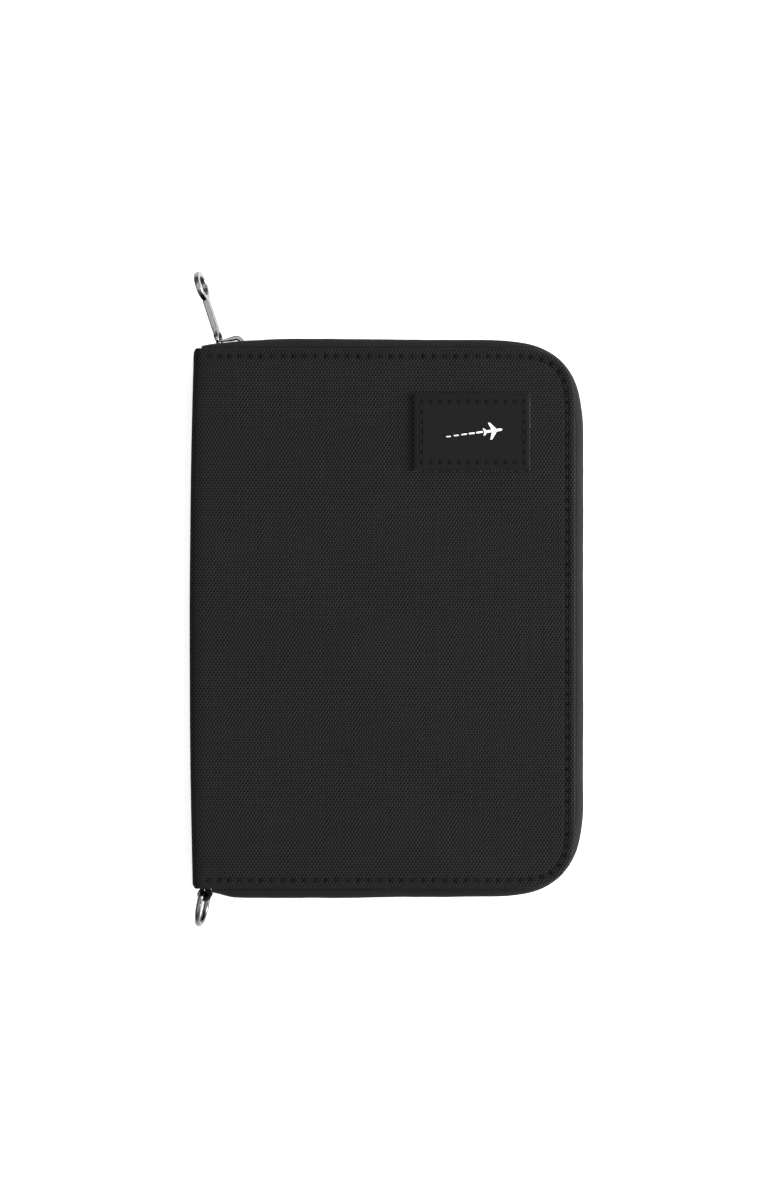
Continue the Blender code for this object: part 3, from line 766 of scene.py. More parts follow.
def outer_fabric(side):
    """One half's cover with its share of the spine, built as the back half with its outer face at z = 0."""
    left = SPINE_X + FOLD_RADIUS
    face_x, face_y, inside = half_grid(left, HEM_RADIUS, 0.0, COVER_CORNER, 0.34 * MM, 0.9 * MM)
    holes, _ = edge_path(COVER_CORNER, STITCH_INSET, STITCH_PITCH, STITCH_START_X)
    sewn = smoothstep(SPINE_X + 3 * MM, STITCH_START_X, face_x)
    groove = GROOVE_DEPTH * bump_at(inside, STITCH_INSET, GROOVE_WIDTH) * sewn
    dent_and_shade = bump_at(distance_to(face_x, face_y, holes), 0, DENT_RADIUS)
    rise = smoothstep(STITCH_INSET, STITCH_INSET + 6 * MM, inside)
    rise = rise * smoothstep(SPINE_X, SPINE_X + 8 * MM, face_x)
    rim = 0.07 * MM * bump_at(inside, 1.15 * MM, 0.6 * MM)
    out = cover_puff(face_x, face_y) * rise - groove - DENT_DEPTH * dent_and_shade + rim
    if side == "back":
        out = np.minimum(out, 0.05 * MM)

    # The strip of columns that goes down the spine to its middle: x, z, and its inward normal in x and z.
    strip = [(SPINE_X, z, 1.0, 0.0) for z in np.linspace(MIDDLE_Z, FOLD_RADIUS, 9)]
    strip += [(left - FOLD_RADIUS * math.cos(a), FOLD_RADIUS * (1 - math.sin(a)), math.cos(a), math.sin(a))
              for a in np.radians(np.linspace(0, 90, 9))[1:-1]]
    strip_x, strip_z, in_x, in_z = np.array(strip).T
    row_y = face_y[:, :1]
    spine, spine_in = vectors(strip_x, row_y, strip_z), vectors(in_x, 0.0 * row_y, in_z)
    bulge = 0.12 * MM * np.sin(np.pi * (strip_z / THICKNESS)) * ripple(0 * row_y, row_y, 60 * MM, 3)
    face = vectors(face_x, face_y, -out)
    points = beside(spine - spine_in * bulge[..., None], face)
    inward = beside(spine_in, np.broadcast_to((0.0, 0.0, 1.0), face.shape))
    along = lengths(vectors(np.append(strip_x, left), np.append(strip_z, 0.0)))
    u = beside((left - (along[-1] - along[:-1]))[None], face_x)
    uv = vectors(u, points[..., 1])
    points[..., 0] += spine_shift(points[..., 0], points[..., 1])

    # Seen from outside, the back half's rows run the other way round, so its columns are reversed.
    sheet = Sheet(points[:, ::-1], inward[:, ::-1], uv[:, ::-1])
    # Painted shade near the spine's fold and on the lower part of the spine, stored with the stitch holes'
    # painted shade in the mesh attribute.
    spine_shade = 0.22 * (1 - smoothstep(SPINE_X + 1.5 * MM, SPINE_X + 4.5 * MM, face_x))
    painted_shade = beside(0.22 * (strip_z < 5 * MM)[None], np.maximum(dent_and_shade, spine_shade))[:, ::-1].ravel()
    sheet.grow(sheet.chain("top", "left", "bottom"), hem(HEM_RADIUS, 4.0 * MM))
    painted_shade = np.append(painted_shade, np.zeros(len(sheet.points) - len(painted_shade)))
    obj = sheet.build(f"outer_fabric_{side}", COVER_FABRIC, side, FABRIC_THICKNESS, {"dent_and_shade": painted_shade})
    blend_over_spine(obj, side, "cover", (SPINE_X, 0, 2.5 * MM),
                     (SPINE_X + 3 * MM, 0, -0.5 * MM))
    sunk = at_height(holes, GROOVE_DEPTH)
    stitches(f"cover_stitches_{side}", sunk, (0, 0, -1), THREAD, side, lift=THREAD_SUNK)


# ---- linings ----------------------------------------------------------------------------------

def lining(side):
    """One half's lining with its share of the spine. It dips into the fold and down onto the zip tape."""
    strip = smooth_line(mm(*LINING_FOLD, at=(SPINE_X, 0)), 0.45 * MM)
    strip, tangent = strip[:-1], tangents(strip)[:-1]
    left = SPINE_X + LINING_FOLD[-1][0] * MM
    right, half = COVER_EDGE_X - LINING_INSET, HALF_HEIGHT - LINING_INSET
    face_x, face_y, inside = half_grid(left, LINING_INSET, LINING_INSET, EDGE_CORNER, 0.4 * MM, 1.5 * MM)
    row_y = face_y[:, :1]
    spine = vectors(strip[:, 0], row_y, strip[:, 1])
    spine_in = vectors(tangent[:, 1], 0 * row_y, -tangent[:, 0])
    slack = 0.09 * MM * ripple(face_x, face_y, 34 * MM, 4) * smoothstep(3 * MM, 12 * MM, inside)
    face = vectors(face_x, face_y, LINING_Z + slack)
    points, inward = beside(spine, face), beside(spine_in, np.broadcast_to((0.0, 0.0, -1.0), face.shape))
    along = lengths(np.concatenate([strip, [(left, LINING_Z)]]))
    u = beside((left - (along[-1] - along[:-1]))[None], face_x)
    near = beside(np.broadcast_to(half - np.abs(row_y), spine.shape[:2]), inside)
    on_tape = smoothstep(-50.5 * MM, -46 * MM, u)
    at_spine = -0.45 * MM * (1 - smoothstep(0.2 * MM, 2.6 * MM, near))
    at_tape = TAPE_DROP * (1 - smoothstep(1.6 * MM, 3.6 * MM, near))
    seam = 0.07 * MM * bump_at(near, 1.3 * MM, 0.4 * MM)
    points = points + inward * (at_spine * (1 - on_tape) + at_tape * on_tape + seam)[..., None]

    sheet = Sheet(points, inward, vectors(u, points[..., 1]))
    sheet.grow(sheet.chain("bottom", "right", "top"), hem(0.22 * MM, LINING_HEM))
    obj = sheet.build(f"lining_{side}", LINING_FABRIC, side, LINING_THICKNESS)
    blend_over_spine(obj, side, "lining", (SPINE_X + 2.0 * MM, 0, 4.1 * MM),
                     (SPINE_X + 3.4 * MM, 0, 2.7 * MM))
    row, _ = edge_path(EDGE_CORNER, LINING_INSET + 1.3 * MM, STITCH_PITCH, STITCH_START_X + 2 * MM)
    sunk = at_height(row, LINING_Z - TAPE_DROP)
    stitches(f"lining_stitches_{side}", sunk, (0, 0, 1), LINING_THREAD, side)


# ---- zip --------------------------------------------------------------------------------------

def end_taper(path):
    """1 along the zip, less where the tape tucks in at the spine's two ends."""
    top_x = np.array([-53.0, -51.7, -49.2, -47.4, -43.0, -39.0, -32.5, -28.0]) * MM
    top = np.interp(path[:, 0], top_x, [0.44, 0.48, 0.61, 0.67, 0.79, 0.87, 0.98, 1.0])
    bottom = 0.58 + 0.42 * smoothstep(-49.8 * MM, -42.0 * MM, path[:, 0])
    return np.where(path[:, 1] > 0, top, bottom)


def zip_tape(side):
    """The woven tape: a flange under the cover, a roll round the edge and a lip under the coil."""
    node = f"{side}_zip_tape"
    start_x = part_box(node)[0].x
    line = smooth_line(mm(*TAPE_LINE), 0.115 * MM)
    outer = -quarter_turn(tangents(line))
    travelled = lengths(line)
    ends = smoothstep(0, 0.5 * MM, travelled) * smoothstep(0, 0.5 * MM, travelled[-1] - travelled)
    half = TAPE_THICKNESS / 2 * (0.45 + 0.55 * ends)
    ribs = TAPE_RIB_HEIGHT * np.cos(2 * math.pi * travelled / TAPE_RIB_PITCH)
    section = np.concatenate([line + outer * (half + ribs)[:, None], (line - outer * half[:, None])[::-3]])
    path, out = edge_path(EDGE_CORNER, 0.0, 1.0 * MM, start_x - 0.8 * MM, start_x + 2.0 * MM)
    n, z = section[:, 0][None], section[:, 1][None]
    shown = smoothstep(-1.6 * MM, 0.2 * MM, n)
    on_short_sides = smoothstep(20 * MM, 60 * MM, np.abs(path[:, 1]))
    bow = 0.32 * MM * bump_at(path[:, 0], -25 * MM, 26 * MM) * on_short_sides
    along = lengths(path)

    def uneven(height, wavelength, seed):
        return height * MM * ripple(along, 0 * along, wavelength * MM, seed)

    moved = bow + (uneven(0.07, 31, 7) + uneven(0.04, 11, 8))
    tapered = -1.0 * MM + (n + 1.0 * MM) * end_taper(path)[:, None]
    n = n * (1 - shown) + shown * tapered + shown * moved[:, None]
    z = z + shown * uneven(0.10, 24, 12)[:, None]
    rings = np.concatenate([path[:, None] + out[:, None] * n[..., None], z[..., None]], axis=-1)
    stands_for(tube_piece(f"woven_tape_{side}", rings, ZIP_TAPE, side), side, [node])


def zip_coil(side):
    """The moulded helix. The two halves' turns are half a pitch apart, so that they interlock."""
    path, out = edge_path(EDGE_CORNER, 0.0, 0.25 * MM, COIL_TOP_X, COIL_BOTTOM_X)
    along = lengths(path)
    turns, per_turn = int(along[-1] / COIL_PITCH - 0.6), 14
    phase = np.arange(turns * per_turn) * 2 * math.pi / per_turn
    shift = 0.1 if side == "back" else 0.6
    s = (phase / (2 * math.pi) + shift) * COIL_PITCH
    x, y, out_x, out_y = (np.interp(s, along, column) for column in (*path.T, *out.T))
    parted = (1 - smoothstep(-46.6 * MM, -43.6 * MM, x)) * (y > 0)
    n = COIL_N + COIL_HALF_N * np.sin(phase)
    rise = COIL_HALF_Z * np.sign(np.cos(phase)) * np.abs(np.cos(phase)) ** 0.8
    z = COIL_Z + rise - COIL_PARTED * parted
    centres = vectors(x + n * out_x, y + n * out_y, z)
    across, upward = frames_along(centres, vectors(-out_y, out_x, 0.0))
    flat = (1 + 0.35 * smoothstep(0.75, 1.0, np.cos(phase))) ** 0.5
    rings = circle_rings(centres, across, upward, COIL_WIRE * flat, 8)
    stands_for(tube_piece(f"coil_{side}", rings, COIL_PLASTIC, side), side, [f"{side}_zip_coil"])


def zip_stop(name, node, body, facing):
    """A stamped clamp, C-shaped in section, crimped in two places over the end of a coil."""
    low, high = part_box(node)
    middle, half = (low + high) / 2, (high - low) / 2
    wall, slit = 0.32 * MM, 0.28 * MM
    inner_y, inner_z = half.y - wall, half.z - wall
    lower = [
        (-inner_y, -inner_z), (-inner_y, -slit), (-half.y, -slit), (-half.y, -inner_z), (-inner_y, -half.z),
        (inner_y, -half.z), (half.y, -inner_z),
    ]
    upper = [(y, -z) for y, z in lower[::-1]]
    outline = np.array([*lower[4:], *upper, (inner_y, inner_z), (inner_y, -inner_z), *lower[:4]])
    section = smooth_line(outline, 0.07 * MM, closed=True)[:-1]
    share = np.linspace(-1, 1, 29)
    size = (1 - 0.14 * np.abs(share) ** 8) * (1 - 0.05 * bump_at(np.abs(share), 0.36, 0.13))
    rings = vectors((middle.x + share * half.x)[:, None], middle.y + facing * size[:, None] * section[:, 0],
                    middle.z + size[:, None] * section[:, 1])
    stands_for(tube_piece(name, rings, SHADED_GUNMETAL), body, [node])


# ---- castings ---------------------------------------------------------------------------------

def cast(name, shells, matrix, voxel):
    """One metal casting from overlapping closed shells in local metres, fused and softened."""
    rough = piece(f"{name}_rough", *merged(shells), METAL, outward=True)
    fused = rough.modifiers.new("fuse", "REMESH")
    fused.mode = "VOXEL"
    fused.voxel_size = voxel
    fused.use_smooth_shade = True
    soften = rough.modifiers.new("soften", "SMOOTH")
    soften.factor = 0.5
    soften.iterations = 5
    mesh = bpy.data.meshes.new_from_object(rough.evaluated_get(bpy.context.evaluated_depsgraph_get()))
    bpy.data.objects.remove(rough)
    mesh.name = name
    mesh.transform(matrix)
    mesh.shade_smooth()
    mesh.materials.clear()
    mesh.materials.append(METAL)
    return link(name, mesh)


def bar(path, half_width, half_thickness, loop=False, square=0.55):
    """A rounded-rectangle bar along a line in the local XY plane, thick along local Z."""
    path = np.asarray(path, float)
    tangent = np.gradient(np.concatenate([path[-1:], path, path[:1]]) if loop else path, axis=0)
    side = unit(quarter_turn(tangent[1:-1] if loop else tangent))
    turn = np.linspace(0, 2 * math.pi, 24, endpoint=False)
    across, up = (np.sign(wave) * np.abs(wave) ** square for wave in (np.cos(turn), np.sin(turn)))
    width, thick = (np.broadcast_to(np.asarray(size, float), (len(path),))[:, None]
                    for size in (half_width, half_thickness))
    flat = path[:, None] + side[:, None] * (width * across)[..., None]
    return tube(np.concatenate([flat, (thick * up)[..., None]], axis=-1), loop)[:2]


def block(outline, low, high):
    """A plain closed prism."""
    count = len(outline)
    points = [(x, y, z) for z in (low, high) for x, y in outline]
    sides = [(i, (i + 1) % count, count + (i + 1) % count, count + i) for i in range(count)]
    return np.array(points), [tuple(range(count))[::-1], tuple(range(count, 2 * count)), *sides]


def turned(shell, matrix):
    """A shell's (points, faces) with its points moved by a matrix."""
    points, faces = shell
    return np.array([matrix @ Vector(p) for p in points]), faces


def joint_place(name):
    return Vector(next(joint["pos_m"] for joint in frame["joints"] if joint["name"] == name))


def zip_slider():
    """Die-cast slider: two wings with turned-in rails, a post between them and an arched bridge."""
    low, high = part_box("slider_body")
    rear, nose, top = low.x, high.x, high.y - HALF_HEIGHT
    wide, narrow = (high.z - low.z) / 2, 2.2 * MM
    trim, tip, waist = 1.3 * MM, 0.8 * MM, rear + 4.6 * MM
    lay = Matrix.Rotation(math.radians(-90), 4, "X")
    outline = (
        arc(rear + trim, -wide + trim, trim, 180, 270, 6) + [(waist, -wide)]
        + arc(nose - tip, -narrow + tip, tip, 285, 360, 5) + arc(nose - tip, narrow - tip, tip, 0, 75, 5)
        + [(waist, wide)] + arc(rear + trim, wide - trim, trim, 90, 180, 6)
    )
    top_plate, bottom_plate = (0.22 * MM, 0.62 * MM), (-3.1 * MM, -2.6 * MM)
    shells = [turned(block(outline, *heights), lay) for heights in (top_plate, bottom_plate)]
    rail_width = 0.22 * MM
    for sign in (-1, 1):
        rail = np.array([(rear + 1.2 * MM, sign * (wide - rail_width)), (waist, sign * (wide - rail_width)),
                         (nose - 0.9 * MM, sign * (narrow - rail_width))])
        for centre, half in ((0.05 * MM, 0.55 * MM), (-2.45 * MM, 0.6 * MM)):
            points, faces = bar(smooth_line(rail, 0.6 * MM), rail_width, half)
            shells.append(turned((points + (0, 0, centre), faces), lay))
    post = mm((0.1, -0.4), (1.5, -0.4), (1.5, 0.4), (0.1, 0.4), at=(rear, 0))
    shells.append(turned(block(post, -2.8 * MM, 0.5 * MM), lay))
    left, right = rear + 0.9 * MM, nose - 1.3 * MM
    arch = smooth_line([
        *mm((0.30, 0.35), (0.25, 1.7), (0.8, 2.42), (2.6, 2.62), at=(left, 0)),
        *mm((-3.6, 3.05), at=(right, 0)), *mm((-2.2, -0.62), (-1.1, -1.25), at=(right, top)),
        *mm((-0.6, 1.5), (-0.55, 0.4), at=(right, 0)),
    ], 0.25 * MM)
    share = np.linspace(0, 1, len(arch))
    thick = (0.36 + 0.34 * smoothstep(0.3, 0.6, share)) * MM
    shells.append(bar(arch, thick, (0.95 + 0.2 * smoothstep(0.2, 0.7, share)) * MM))
    slider = cast("zip_slider", shells, Matrix.Translation((0, HALF_HEIGHT, MIDDLE_Z)), 0.11 * MM)
    stands_for(slider, "slider", ["slider_body"])


def zip_pull():
    """Cast pull: a thin eye round the bridge, a flat shank and a ring head."""
    lean = Matrix.Rotation(math.radians(18.0), 4, "Z")
    twist = Matrix.Rotation(math.radians(-13.5), 4, "Y")
    flat = Matrix(((0, 0, 1, 0), (1, 0, 0, 0), (0, 1, 0, 0), (0, 0, 0, 1)))
    place = Matrix.Translation(joint_place("pull_swing")) @ lean @ twist @ flat
    head_centre, head_outer, head_hole = 17.1 * MM, 4.3 * MM, 2.7 * MM
    ring = arc(head_centre, 0, (head_outer + head_hole) / 2, 0, 360, 72)[:-1]
    head = bar(ring, (head_outer - head_hole) / 2, 0.74 * MM, loop=True, square=0.3)
    shank_x = (3.35 * MM, 6 * MM, 9 * MM, head_centre - head_hole - 0.5 * MM)
    line = resampled([(x, 0) for x in shank_x], 0.4 * MM)
    share = np.linspace(0, 1, len(line))
    width = (1.45 + 0.12 * np.abs(2 * share - 1) ** 3) * MM
    depth = (0.74 + 0.12 * smoothstep(0, 0.18, share) - 0.22 * smoothstep(0.84, 1.0, share)) * MM
    shank = bar(line, width, depth, square=0.28)
    lower_eye = [(0, -1.5), (0.3, -2.0), (2.2, -2.02), (3.4, -1.1)]
    upper_eye = [(x, -y) for x, y in lower_eye[::-1]]
    eye_line = smooth_line(mm((0, 0), *lower_eye, (3.65, 0), *upper_eye), 0.25 * MM, closed=True)[:-1]
    heavy = (0.33 + 0.39 * smoothstep(0.3 * MM, 2.6 * MM, eye_line[:, 0])) * MM
    wide = (0.36 + 0.18 * smoothstep(0.4 * MM, 1.6 * MM, eye_line[:, 0])) * MM
    eye = bar(eye_line, wide, heavy, loop=True, square=0.5)
    stands_for(cast("zip_puller", [head, shank, eye], place, 0.10 * MM), "pull", ["zip_pull"])


def strap_ring():
    """D-ring of drawn wire: a straight bar in the tab and a round bow."""
    radius, half_width, length, corner = 0.8 * MM, 5.0 * MM, 8.7 * MM, 1.2 * MM
    outline = (
        arc(corner, corner - half_width, corner, 180, 270, 6)
        + arc(length - half_width, 0, half_width, -90, 90, 40)
        + arc(corner, half_width - corner, corner, 90, 180, 6)
    )
    outline = resampled(outline + outline[:1], 0.3 * MM)[:-1]
    local = vectors(0.0, -outline[:, 0], outline[:, 1])
    down = Matrix.Rotation(math.radians(-11.0), 3, "Z") @ Matrix.Rotation(math.radians(-10.0), 3, "Y")
    centres = local @ np.array(down).T + np.array(joint_place("ring_swing"))
    tangent = tangents(np.concatenate([centres[-1:], centres, centres[:1]]))[1:-1]
    across = np.broadcast_to(np.array(down @ Vector((1, 0, 0))), tangent.shape)
    rings = circle_rings(centres, across, np.cross(tangent, across), radius, 20)
    stands_for(tube_piece("d_ring", rings, SHADED_GUNMETAL, loop=True), "ring", ["strap_ring"])


def strap_loop():
    """The ribbed tape folded round the ring's bar, with both ends sewn in behind the spine."""
    low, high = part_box("strap_tab")
    pivot = joint_place("ring_swing")
    reach, thin, thick = 1.46 * MM, 0.25 * MM, 0.53 * MM
    centre = (pivot.x, pivot.y)
    left, right = (
        [*mm((side * 0.45, 0), at=(pivot.x, high.y)), *mm((side * 0.45, 2.8), (side * 0.6, 1.5), at=centre)]
        for side in (-1, 1)
    )
    line = smooth_line([*left, *arc(*centre, reach, 180, 360, 10), *right[::-1]], 0.3 * MM)
    outer = -quarter_turn(tangents(line))
    half = thin + (thick - thin) * (1 - smoothstep(pivot.y + 1.8 * MM, pivot.y + 3.6 * MM, line[:, 1]))
    rings = []
    for width in np.linspace(low.z, high.z, 37):
        from_edge = min(width - low.z, high.z - width)
        rounding = 0.35 + 0.65 * smoothstep(0, 0.45 * MM, from_edge)
        selvage = 0.06 * MM * bump_at(from_edge, 0.7 * MM, 0.3 * MM)
        reach_out = outer * (half * rounding + selvage)[:, None]
        rings.append(at_height(np.concatenate([line + reach_out, (line - reach_out)[::-1]]), width))
    stands_for(tube_piece("strap_loop", np.array(rings), BINDING_TAPE), "spine", ["strap_tab"])


# ---- label ------------------------------------------------------------------------------------

def label():
    """A cut label sewn on all four sides, with yarn ends along its right and lower edges coloured pale as a
    painted highlight.
    """
    low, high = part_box("front_label")
    top, thickness = high.z - 0.08 * MM, 0.32 * MM
    inset_x, inset_y = 2.0 * MM, 2.35 * MM
    groove_depth, dent_depth, edge_drop, unevenness = 0.10 * MM, 0.22 * MM, 0.12 * MM, 0.02 * MM
    x, y = np.meshgrid(np.linspace(low.x, high.x, 100), np.linspace(low.y, high.y, 68))
    sewn_x, sewn_y = (low.x + inset_x, high.x - inset_x), (low.y + inset_y, high.y - inset_y)
    corners = np.array([(sewn_x[i], sewn_y[j]) for i, j in ((0, 0), (1, 0), (1, 1), (0, 1))])
    holes = []
    for start, end in zip(corners, np.roll(corners, -1, axis=0)):
        count = int(round(math.dist(start, end) / (2.7 * MM)))
        holes += [start + (end - start) * i / count for i in range(count)]
    dent_and_shade = bump_at(distance_to(x, y, holes), 0, 0.40 * MM)
    edge = np.minimum(np.minimum(x - low.x, high.x - x), np.minimum(y - low.y, high.y - y))
    row_x, row_y = (np.minimum(np.abs(place - ends[0]), np.abs(ends[1] - place))
                    for place, ends in ((x, sewn_x), (y, sewn_y)))
    groove = (edge > inset_x - 0.6 * MM) * bump_at(np.minimum(row_x, row_y), 0, 0.4 * MM)
    z = top - groove_depth * groove - dent_depth * dent_and_shade - edge_drop * (1 - smoothstep(0, 1.1 * MM, edge))
    z = z + unevenness * ripple(x, y, 12 * MM, 6)
    sheet = Sheet(vectors(x, y, z))
    # The mesh attribute carries painted shade for the stitch holes.
    obj = sheet.build("sewn_label", LABEL_FACE, "back", thickness, {"dent_and_shade": dent_and_shade.ravel()})
    stands_for(obj, "front", ["front_label"])
    stitches("label_stitches", at_height(holes, top - groove_depth), (0, 0, 1), THREAD, body="front",
             lift=THREAD_SUNK, radius=0.15 * MM, closed=True)
    print_motif(low, high, top)
    fray_highlight(low, high, top)


def placed(shape, x, y, angle):
    """A flat outline in metres, turned and moved."""
    cos, sin = math.cos(angle), math.sin(angle)
    return [(x + a * cos - b * sin, y + a * sin + b * cos) for a, b in shape]


def print_motif(low, high, top):
    """A small aeroplane with a dashed trail, printed in white."""
    upper = [(2.9, 0.0), (2.55, 0.30), (1.25, 0.38), (-0.35, 2.35), (-0.85, 2.35), (-0.15, 0.38),
             (-1.55, 0.32), (-2.15, 0.98), (-2.55, 0.98), (-2.2, 0.0)]
    plane = mm(*upper, *((x, -y) for x, y in upper[-2:0:-1]))
    plane_x, plane_y = (low.x + high.x) / 2 + 5.7 * MM, (low.y + high.y) / 2 + 0.3 * MM
    tilt = math.radians(8)
    shapes = [placed(plane, plane_x, plane_y, tilt)]
    for i in range(5):
        reach = (3.5 + 2.15 * i) * MM
        length, thick = (1.45 - 0.12 * i) * MM, (0.46 - 0.04 * i) * MM
        y = plane_y - 0.55 * MM * (1 - math.cos(reach / (13 * MM))) - reach * math.tan(tilt) * 0.8
        dash = arc(length / 2, 0, thick / 2, -90, 90, 6) + arc(-length / 2, 0, thick / 2, 90, 270, 6)
        shapes.append(placed(dash, plane_x - reach, y, tilt * (1 - 0.12 * i)))
    points, faces = merged([block(shape, top - 0.02 * MM, top + 0.045 * MM) for shape in shapes])
    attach(piece("label_print", points, faces, PRINT_INK, outward=True), "front")


def fray_highlight(low, high, top):
    """Short cut yarn ends lying out from the label's right and lower edges, coloured pale as a painted
    highlight.
    """
    rng = np.random.default_rng(11)
    yarns = []

    def yarn(x, y, dx, dy, radius):
        base = np.array([x, y, top - rng.uniform(0.16, 0.30) * MM])
        tip = base + np.array([dx, dy, -rng.uniform(0.0, 0.12) * MM])
        centres = np.linspace(base, tip, 3)
        yarns.append(tube(circle_rings(centres, *frames_along(centres, (0.0, 0.0, 1.0)), radius, 5)))

    for y in np.arange(low.y + 0.2 * MM, high.y - 0.2 * MM, 0.19 * MM):
        worn = 0.5 + 0.5 * ripple(high.x, y, 7 * MM, 9)
        reach, lean = (0.08 + 0.26 * worn * rng.random()) * MM, rng.uniform(-0.08, 0.08) * MM
        yarn(high.x - 0.15 * MM, y, reach, lean, 0.04 * MM)
    for x in np.arange(low.x + 0.2 * MM, high.x - 0.2 * MM, 0.24 * MM):
        if rng.random() < 0.6:
            lean, reach = rng.uniform(-0.06, 0.06) * MM, rng.uniform(0.15, 0.34) * MM
            yarn(x, low.y + 0.15 * MM, lean, -reach, 0.035 * MM)
    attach(piece("label_fray_highlight", *merged(yarns), FRAY_HIGHLIGHT, outward=True), "front")


# ---- pockets ----------------------------------------------------------------------------------

def mouth_sag(x, x_range, sag):
    """How far a pocket's mouth hangs in, most in the middle of its width."""
    return sag * np.sin(np.pi * np.clip((x - x_range[0]) / (x_range[1] - x_range[0]), 0, 1))


def pocket_panel(name, nodes, side, x_range, y_range, height, sag):
    """A panel closed on three sides by a wall down to the lining, open along its hemmed top edge."""
    (x0, x1), (y0, y1) = x_range, y_range
    wall = height - PANEL_FOOT_Z
    xs, ys = (spaced(*ends, 0.5 * MM, 1.5 * MM, 4 * MM) for ends in (x_range, y_range))
    x, y = rounded_grid(xs, ys, 3 * MM, 2.4, [(1, -1), (-1, -1)])
    z = height - mouth_sag(x, x_range, sag) * smoothstep(y0, y1, y)
    groove = 0.06 * MM * bump_at(y, y1 - MOUTH_INSET, 0.35 * MM)
    z = z + 0.05 * MM * ripple(x, y, 26 * MM, height / MM) - groove
    sheet = Sheet(vectors(x, y, z))
    radius = min(0.8 * MM, wall * 0.5)
    turn = [(radius * math.sin(a), radius * (1 - math.cos(a))) for a in np.radians((22.5, 45, 67.5, 90))]
    pinch = 0.35 * MM if wall > 3 * MM else 0.0
    drop = [(radius - pinch * math.sin(math.pi * share), radius + (wall - radius) * share)
            for share in (0.25, 0.5, 0.75, 1.0)]
    flange = [(radius + reach * MM, wall + 0.05 * MM) for reach in (0.5, 1.6)]
    hem_depth = 6 * MM
    sheet.grow(sheet.chain("left", "bottom", "right"), turn + drop + flange)
    sheet.grow(sheet.chain("top"), hem(0.24 * MM, hem_depth))
    obj = sheet.build(name, LINING_FABRIC, side, LINING_THICKNESS)
    stands_for(obj, side, nodes)
    hole_x = np.linspace(x0 + 2 * MM, x1 - 2 * MM, int((x1 - x0 - 4 * MM) / STITCH_PITCH) + 1)
    level = height - mouth_sag(hole_x, x_range, sag) - 0.02 * MM
    stitches(f"{name}_hem_stitches", vectors(hole_x, y1 - MOUTH_INSET, level), (0, 0, 1), LINING_THREAD, side)


def binding(name, node, side, height, sag, panel_x):
    """Ribbed tape folded over a pocket's mouth: a flattened U in section, swept along it."""
    low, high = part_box(node)
    depth, thick, half_gap = high.y - low.y, 0.34 * MM, 0.42 * MM
    x = np.linspace(low.x, high.x, 90)
    outer = [(-depth, half_gap), *arc(-half_gap, 0, half_gap, 90, -90, 8), (-depth, -half_gap)]
    inner = [(-depth, thick - half_gap), *arc(-half_gap, 0, half_gap - thick, -90, 90, 4),
             (-depth, half_gap - thick)]
    section = resampled(outer + inner + outer[:1], 0.16 * MM)[:-1]
    level = height - mouth_sag(x, panel_x, sag)
    rings = vectors(x[:, None], high.y + section[:, 0], level[:, None] + section[:, 1])
    stands_for(tube_piece(name, rings, BINDING_TAPE, side), side, [node])
    hole_x = np.linspace(low.x + 1 * MM, high.x - 1 * MM, int((high.x - low.x) / STITCH_PITCH))
    hole_z = np.interp(hole_x, x, level) + half_gap - 0.02 * MM
    stitches(f"{name}_stitches", vectors(hole_x, low.y + 0.6 * MM, hole_z), (0, 0, 1), THREAD, side)


def panel_height(node, side):
    """Where a panel lies: just above the middle of its node's thickness, from its half's outer face."""
    low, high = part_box(node)
    middle = (low.z + high.z) / 2
    return (middle if side == "back" else THICKNESS - middle) + PANEL_PROUD


def pockets():
    """The passport pocket on the back half, and the slip pocket with four card slots on the front half."""
    for name, side, inset, sag, drop, gusset in (
        ("passport", "back", 0.8, 0.5, PANEL_PROUD, ["passport_gusset"]),
        ("slip", "front", 1.2, 0.0, 0.0, []),
    ):
        node, sag = f"{name}_pocket", sag * MM
        low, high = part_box(node)
        mouth_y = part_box(f"{node}_binding")[0].y + 1.5 * MM
        height = panel_height(node, side)
        x_range = (low.x + inset * MM, high.x - inset * MM)
        y_range = (low.y + inset * MM, mouth_y)
        pocket_panel(f"{name}_panel", [node, *gusset], side, x_range, y_range, height, sag)
        binding(f"{name}_mouth_binding", f"{node}_binding", side, height - drop, sag, x_range)
    for i in range(4):
        node = f"card_slot_{i + 1}"
        low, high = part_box(node)
        inset = (0.9 - 0.25 * i) * MM
        pocket_panel(f"card_panel_{i + 1}", [node], "front", (low.x + inset, high.x - inset),
                     (low.y + inset, high.y), panel_height(node, "front"), 0.12 * MM)


# ---- studio -----------------------------------------------------------------------------------

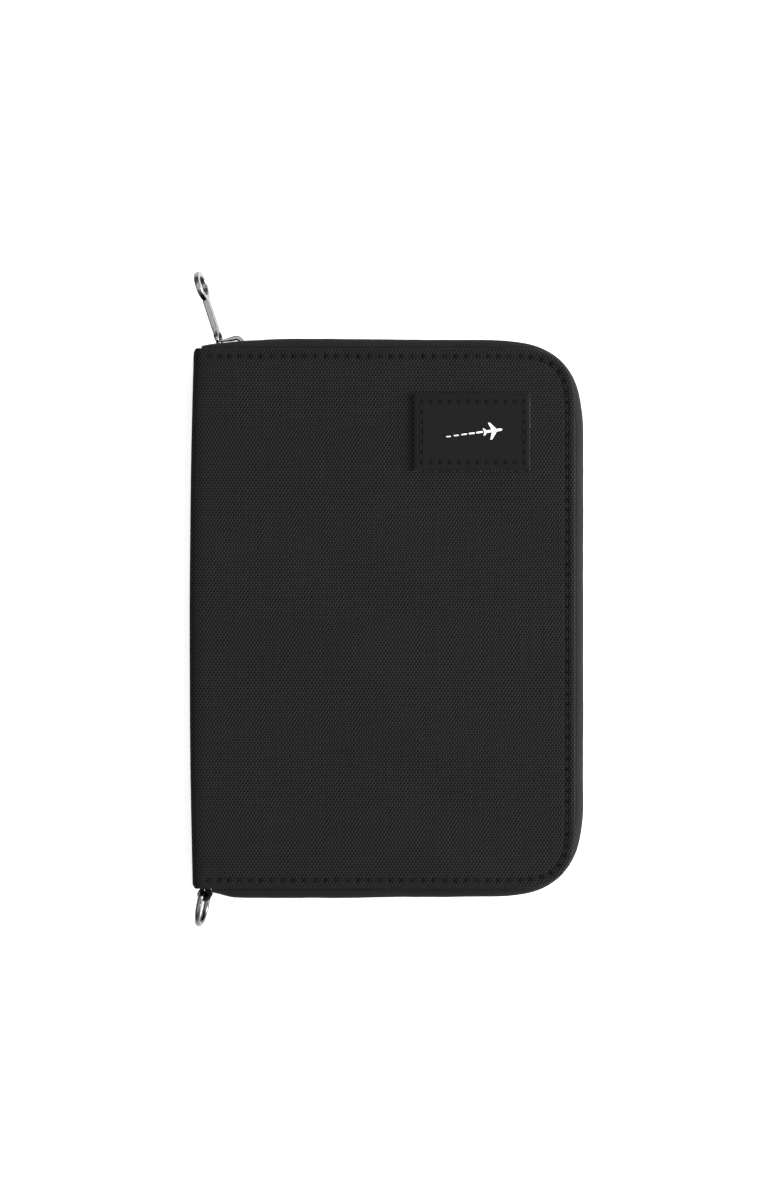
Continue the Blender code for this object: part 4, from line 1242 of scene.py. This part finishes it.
def studio():
    """Pale floor, white surround and soft lights, strongest from the zip side."""
    kit = Nodes("studio_floor", (0.93, 0.93, 0.93), 0.85, Specular_IOR_Level=0.1,
                Emission_Color=(1.0, 1.0, 1.0, 1.0), Emission_Strength=0.36)
    grain = kit.noise(kit.place(), 6.0)
    mesh = bpy.data.meshes.new("floor")
    mesh.from_pydata([(-4, -4, 0), (4, -4, 0), (4, 4, 0), (-4, 4, 0)], [], [(0, 1, 2, 3)])
    mesh.materials.append(kit.finish(kit.mix(grain, (0.92, 0.92, 0.92), (0.95, 0.95, 0.95))))
    floor = link("floor", mesh)
    floor.location.z = -0.6 * MM

    world = bpy.data.worlds.new("studio")
    world.use_nodes = True
    background = world.node_tree.nodes["Background"]
    background.inputs["Color"].default_value = (1.0, 1.0, 1.0, 1.0)
    background.inputs["Strength"].default_value = 0.26
    bpy.context.scene.world = world

    for name, place, size, power in (
        ("overhead", (0.05, 0.10, 1.55), 2.6, 35.0),
        ("zip_side", (1.15, 0.05, 0.32), 0.8, 51.0),
        ("spine_side", (-1.2, 0.3, 0.7), 0.7, 0.5),
    ):
        data = bpy.data.lights.new(name, "AREA")
        data.shape, data.size, data.energy = "DISK", size, power
        light = link(name, data)
        light.location = place
        light.rotation_mode = "QUATERNION"
        light.rotation_quaternion = (-Vector(place)).to_track_quat("-Z", "Y")


def camera():
    """Straight down on the front cover through a long lens."""
    frame_height, distance, sensor = 331.7 * MM, 1.3, 36.0
    data = bpy.data.cameras.new("camera")
    data.sensor_width = sensor
    data.lens = sensor * distance / frame_height
    data.clip_start, data.clip_end = 0.01, 20.0
    view = link("camera", data)
    view.location = (0.97 * MM, 5.66 * MM, THICKNESS + distance)
    bpy.context.scene.camera = view
    bpy.context.scene.view_settings.view_transform = "Standard"


def finish_boards():
    """The stiffening boards and shields keep their CAD shapes."""
    for name, material in (("back_board", CHIPBOARD), ("front_board", CHIPBOARD), ("spine_board", CHIPBOARD),
                           ("back_shield", FOIL), ("front_shield", FOIL)):
        for slot in frame["nodes"][name].material_slots:
            slot.material = material


camera()
studio()
finish_boards()
for half in ("front", "back"):
    outer_fabric(half)
    lining(half)
    zip_tape(half)
    zip_coil(half)
zip_stop("top_clamp_back", "back_top_stop", "back", 1)
zip_stop("top_clamp_front", "front_top_stop", "front", 1)
zip_stop("bottom_clamp", "zip_bottom_stop", "back", -1)
zip_slider()
zip_pull()
strap_ring()
strap_loop()
label()
pockets()
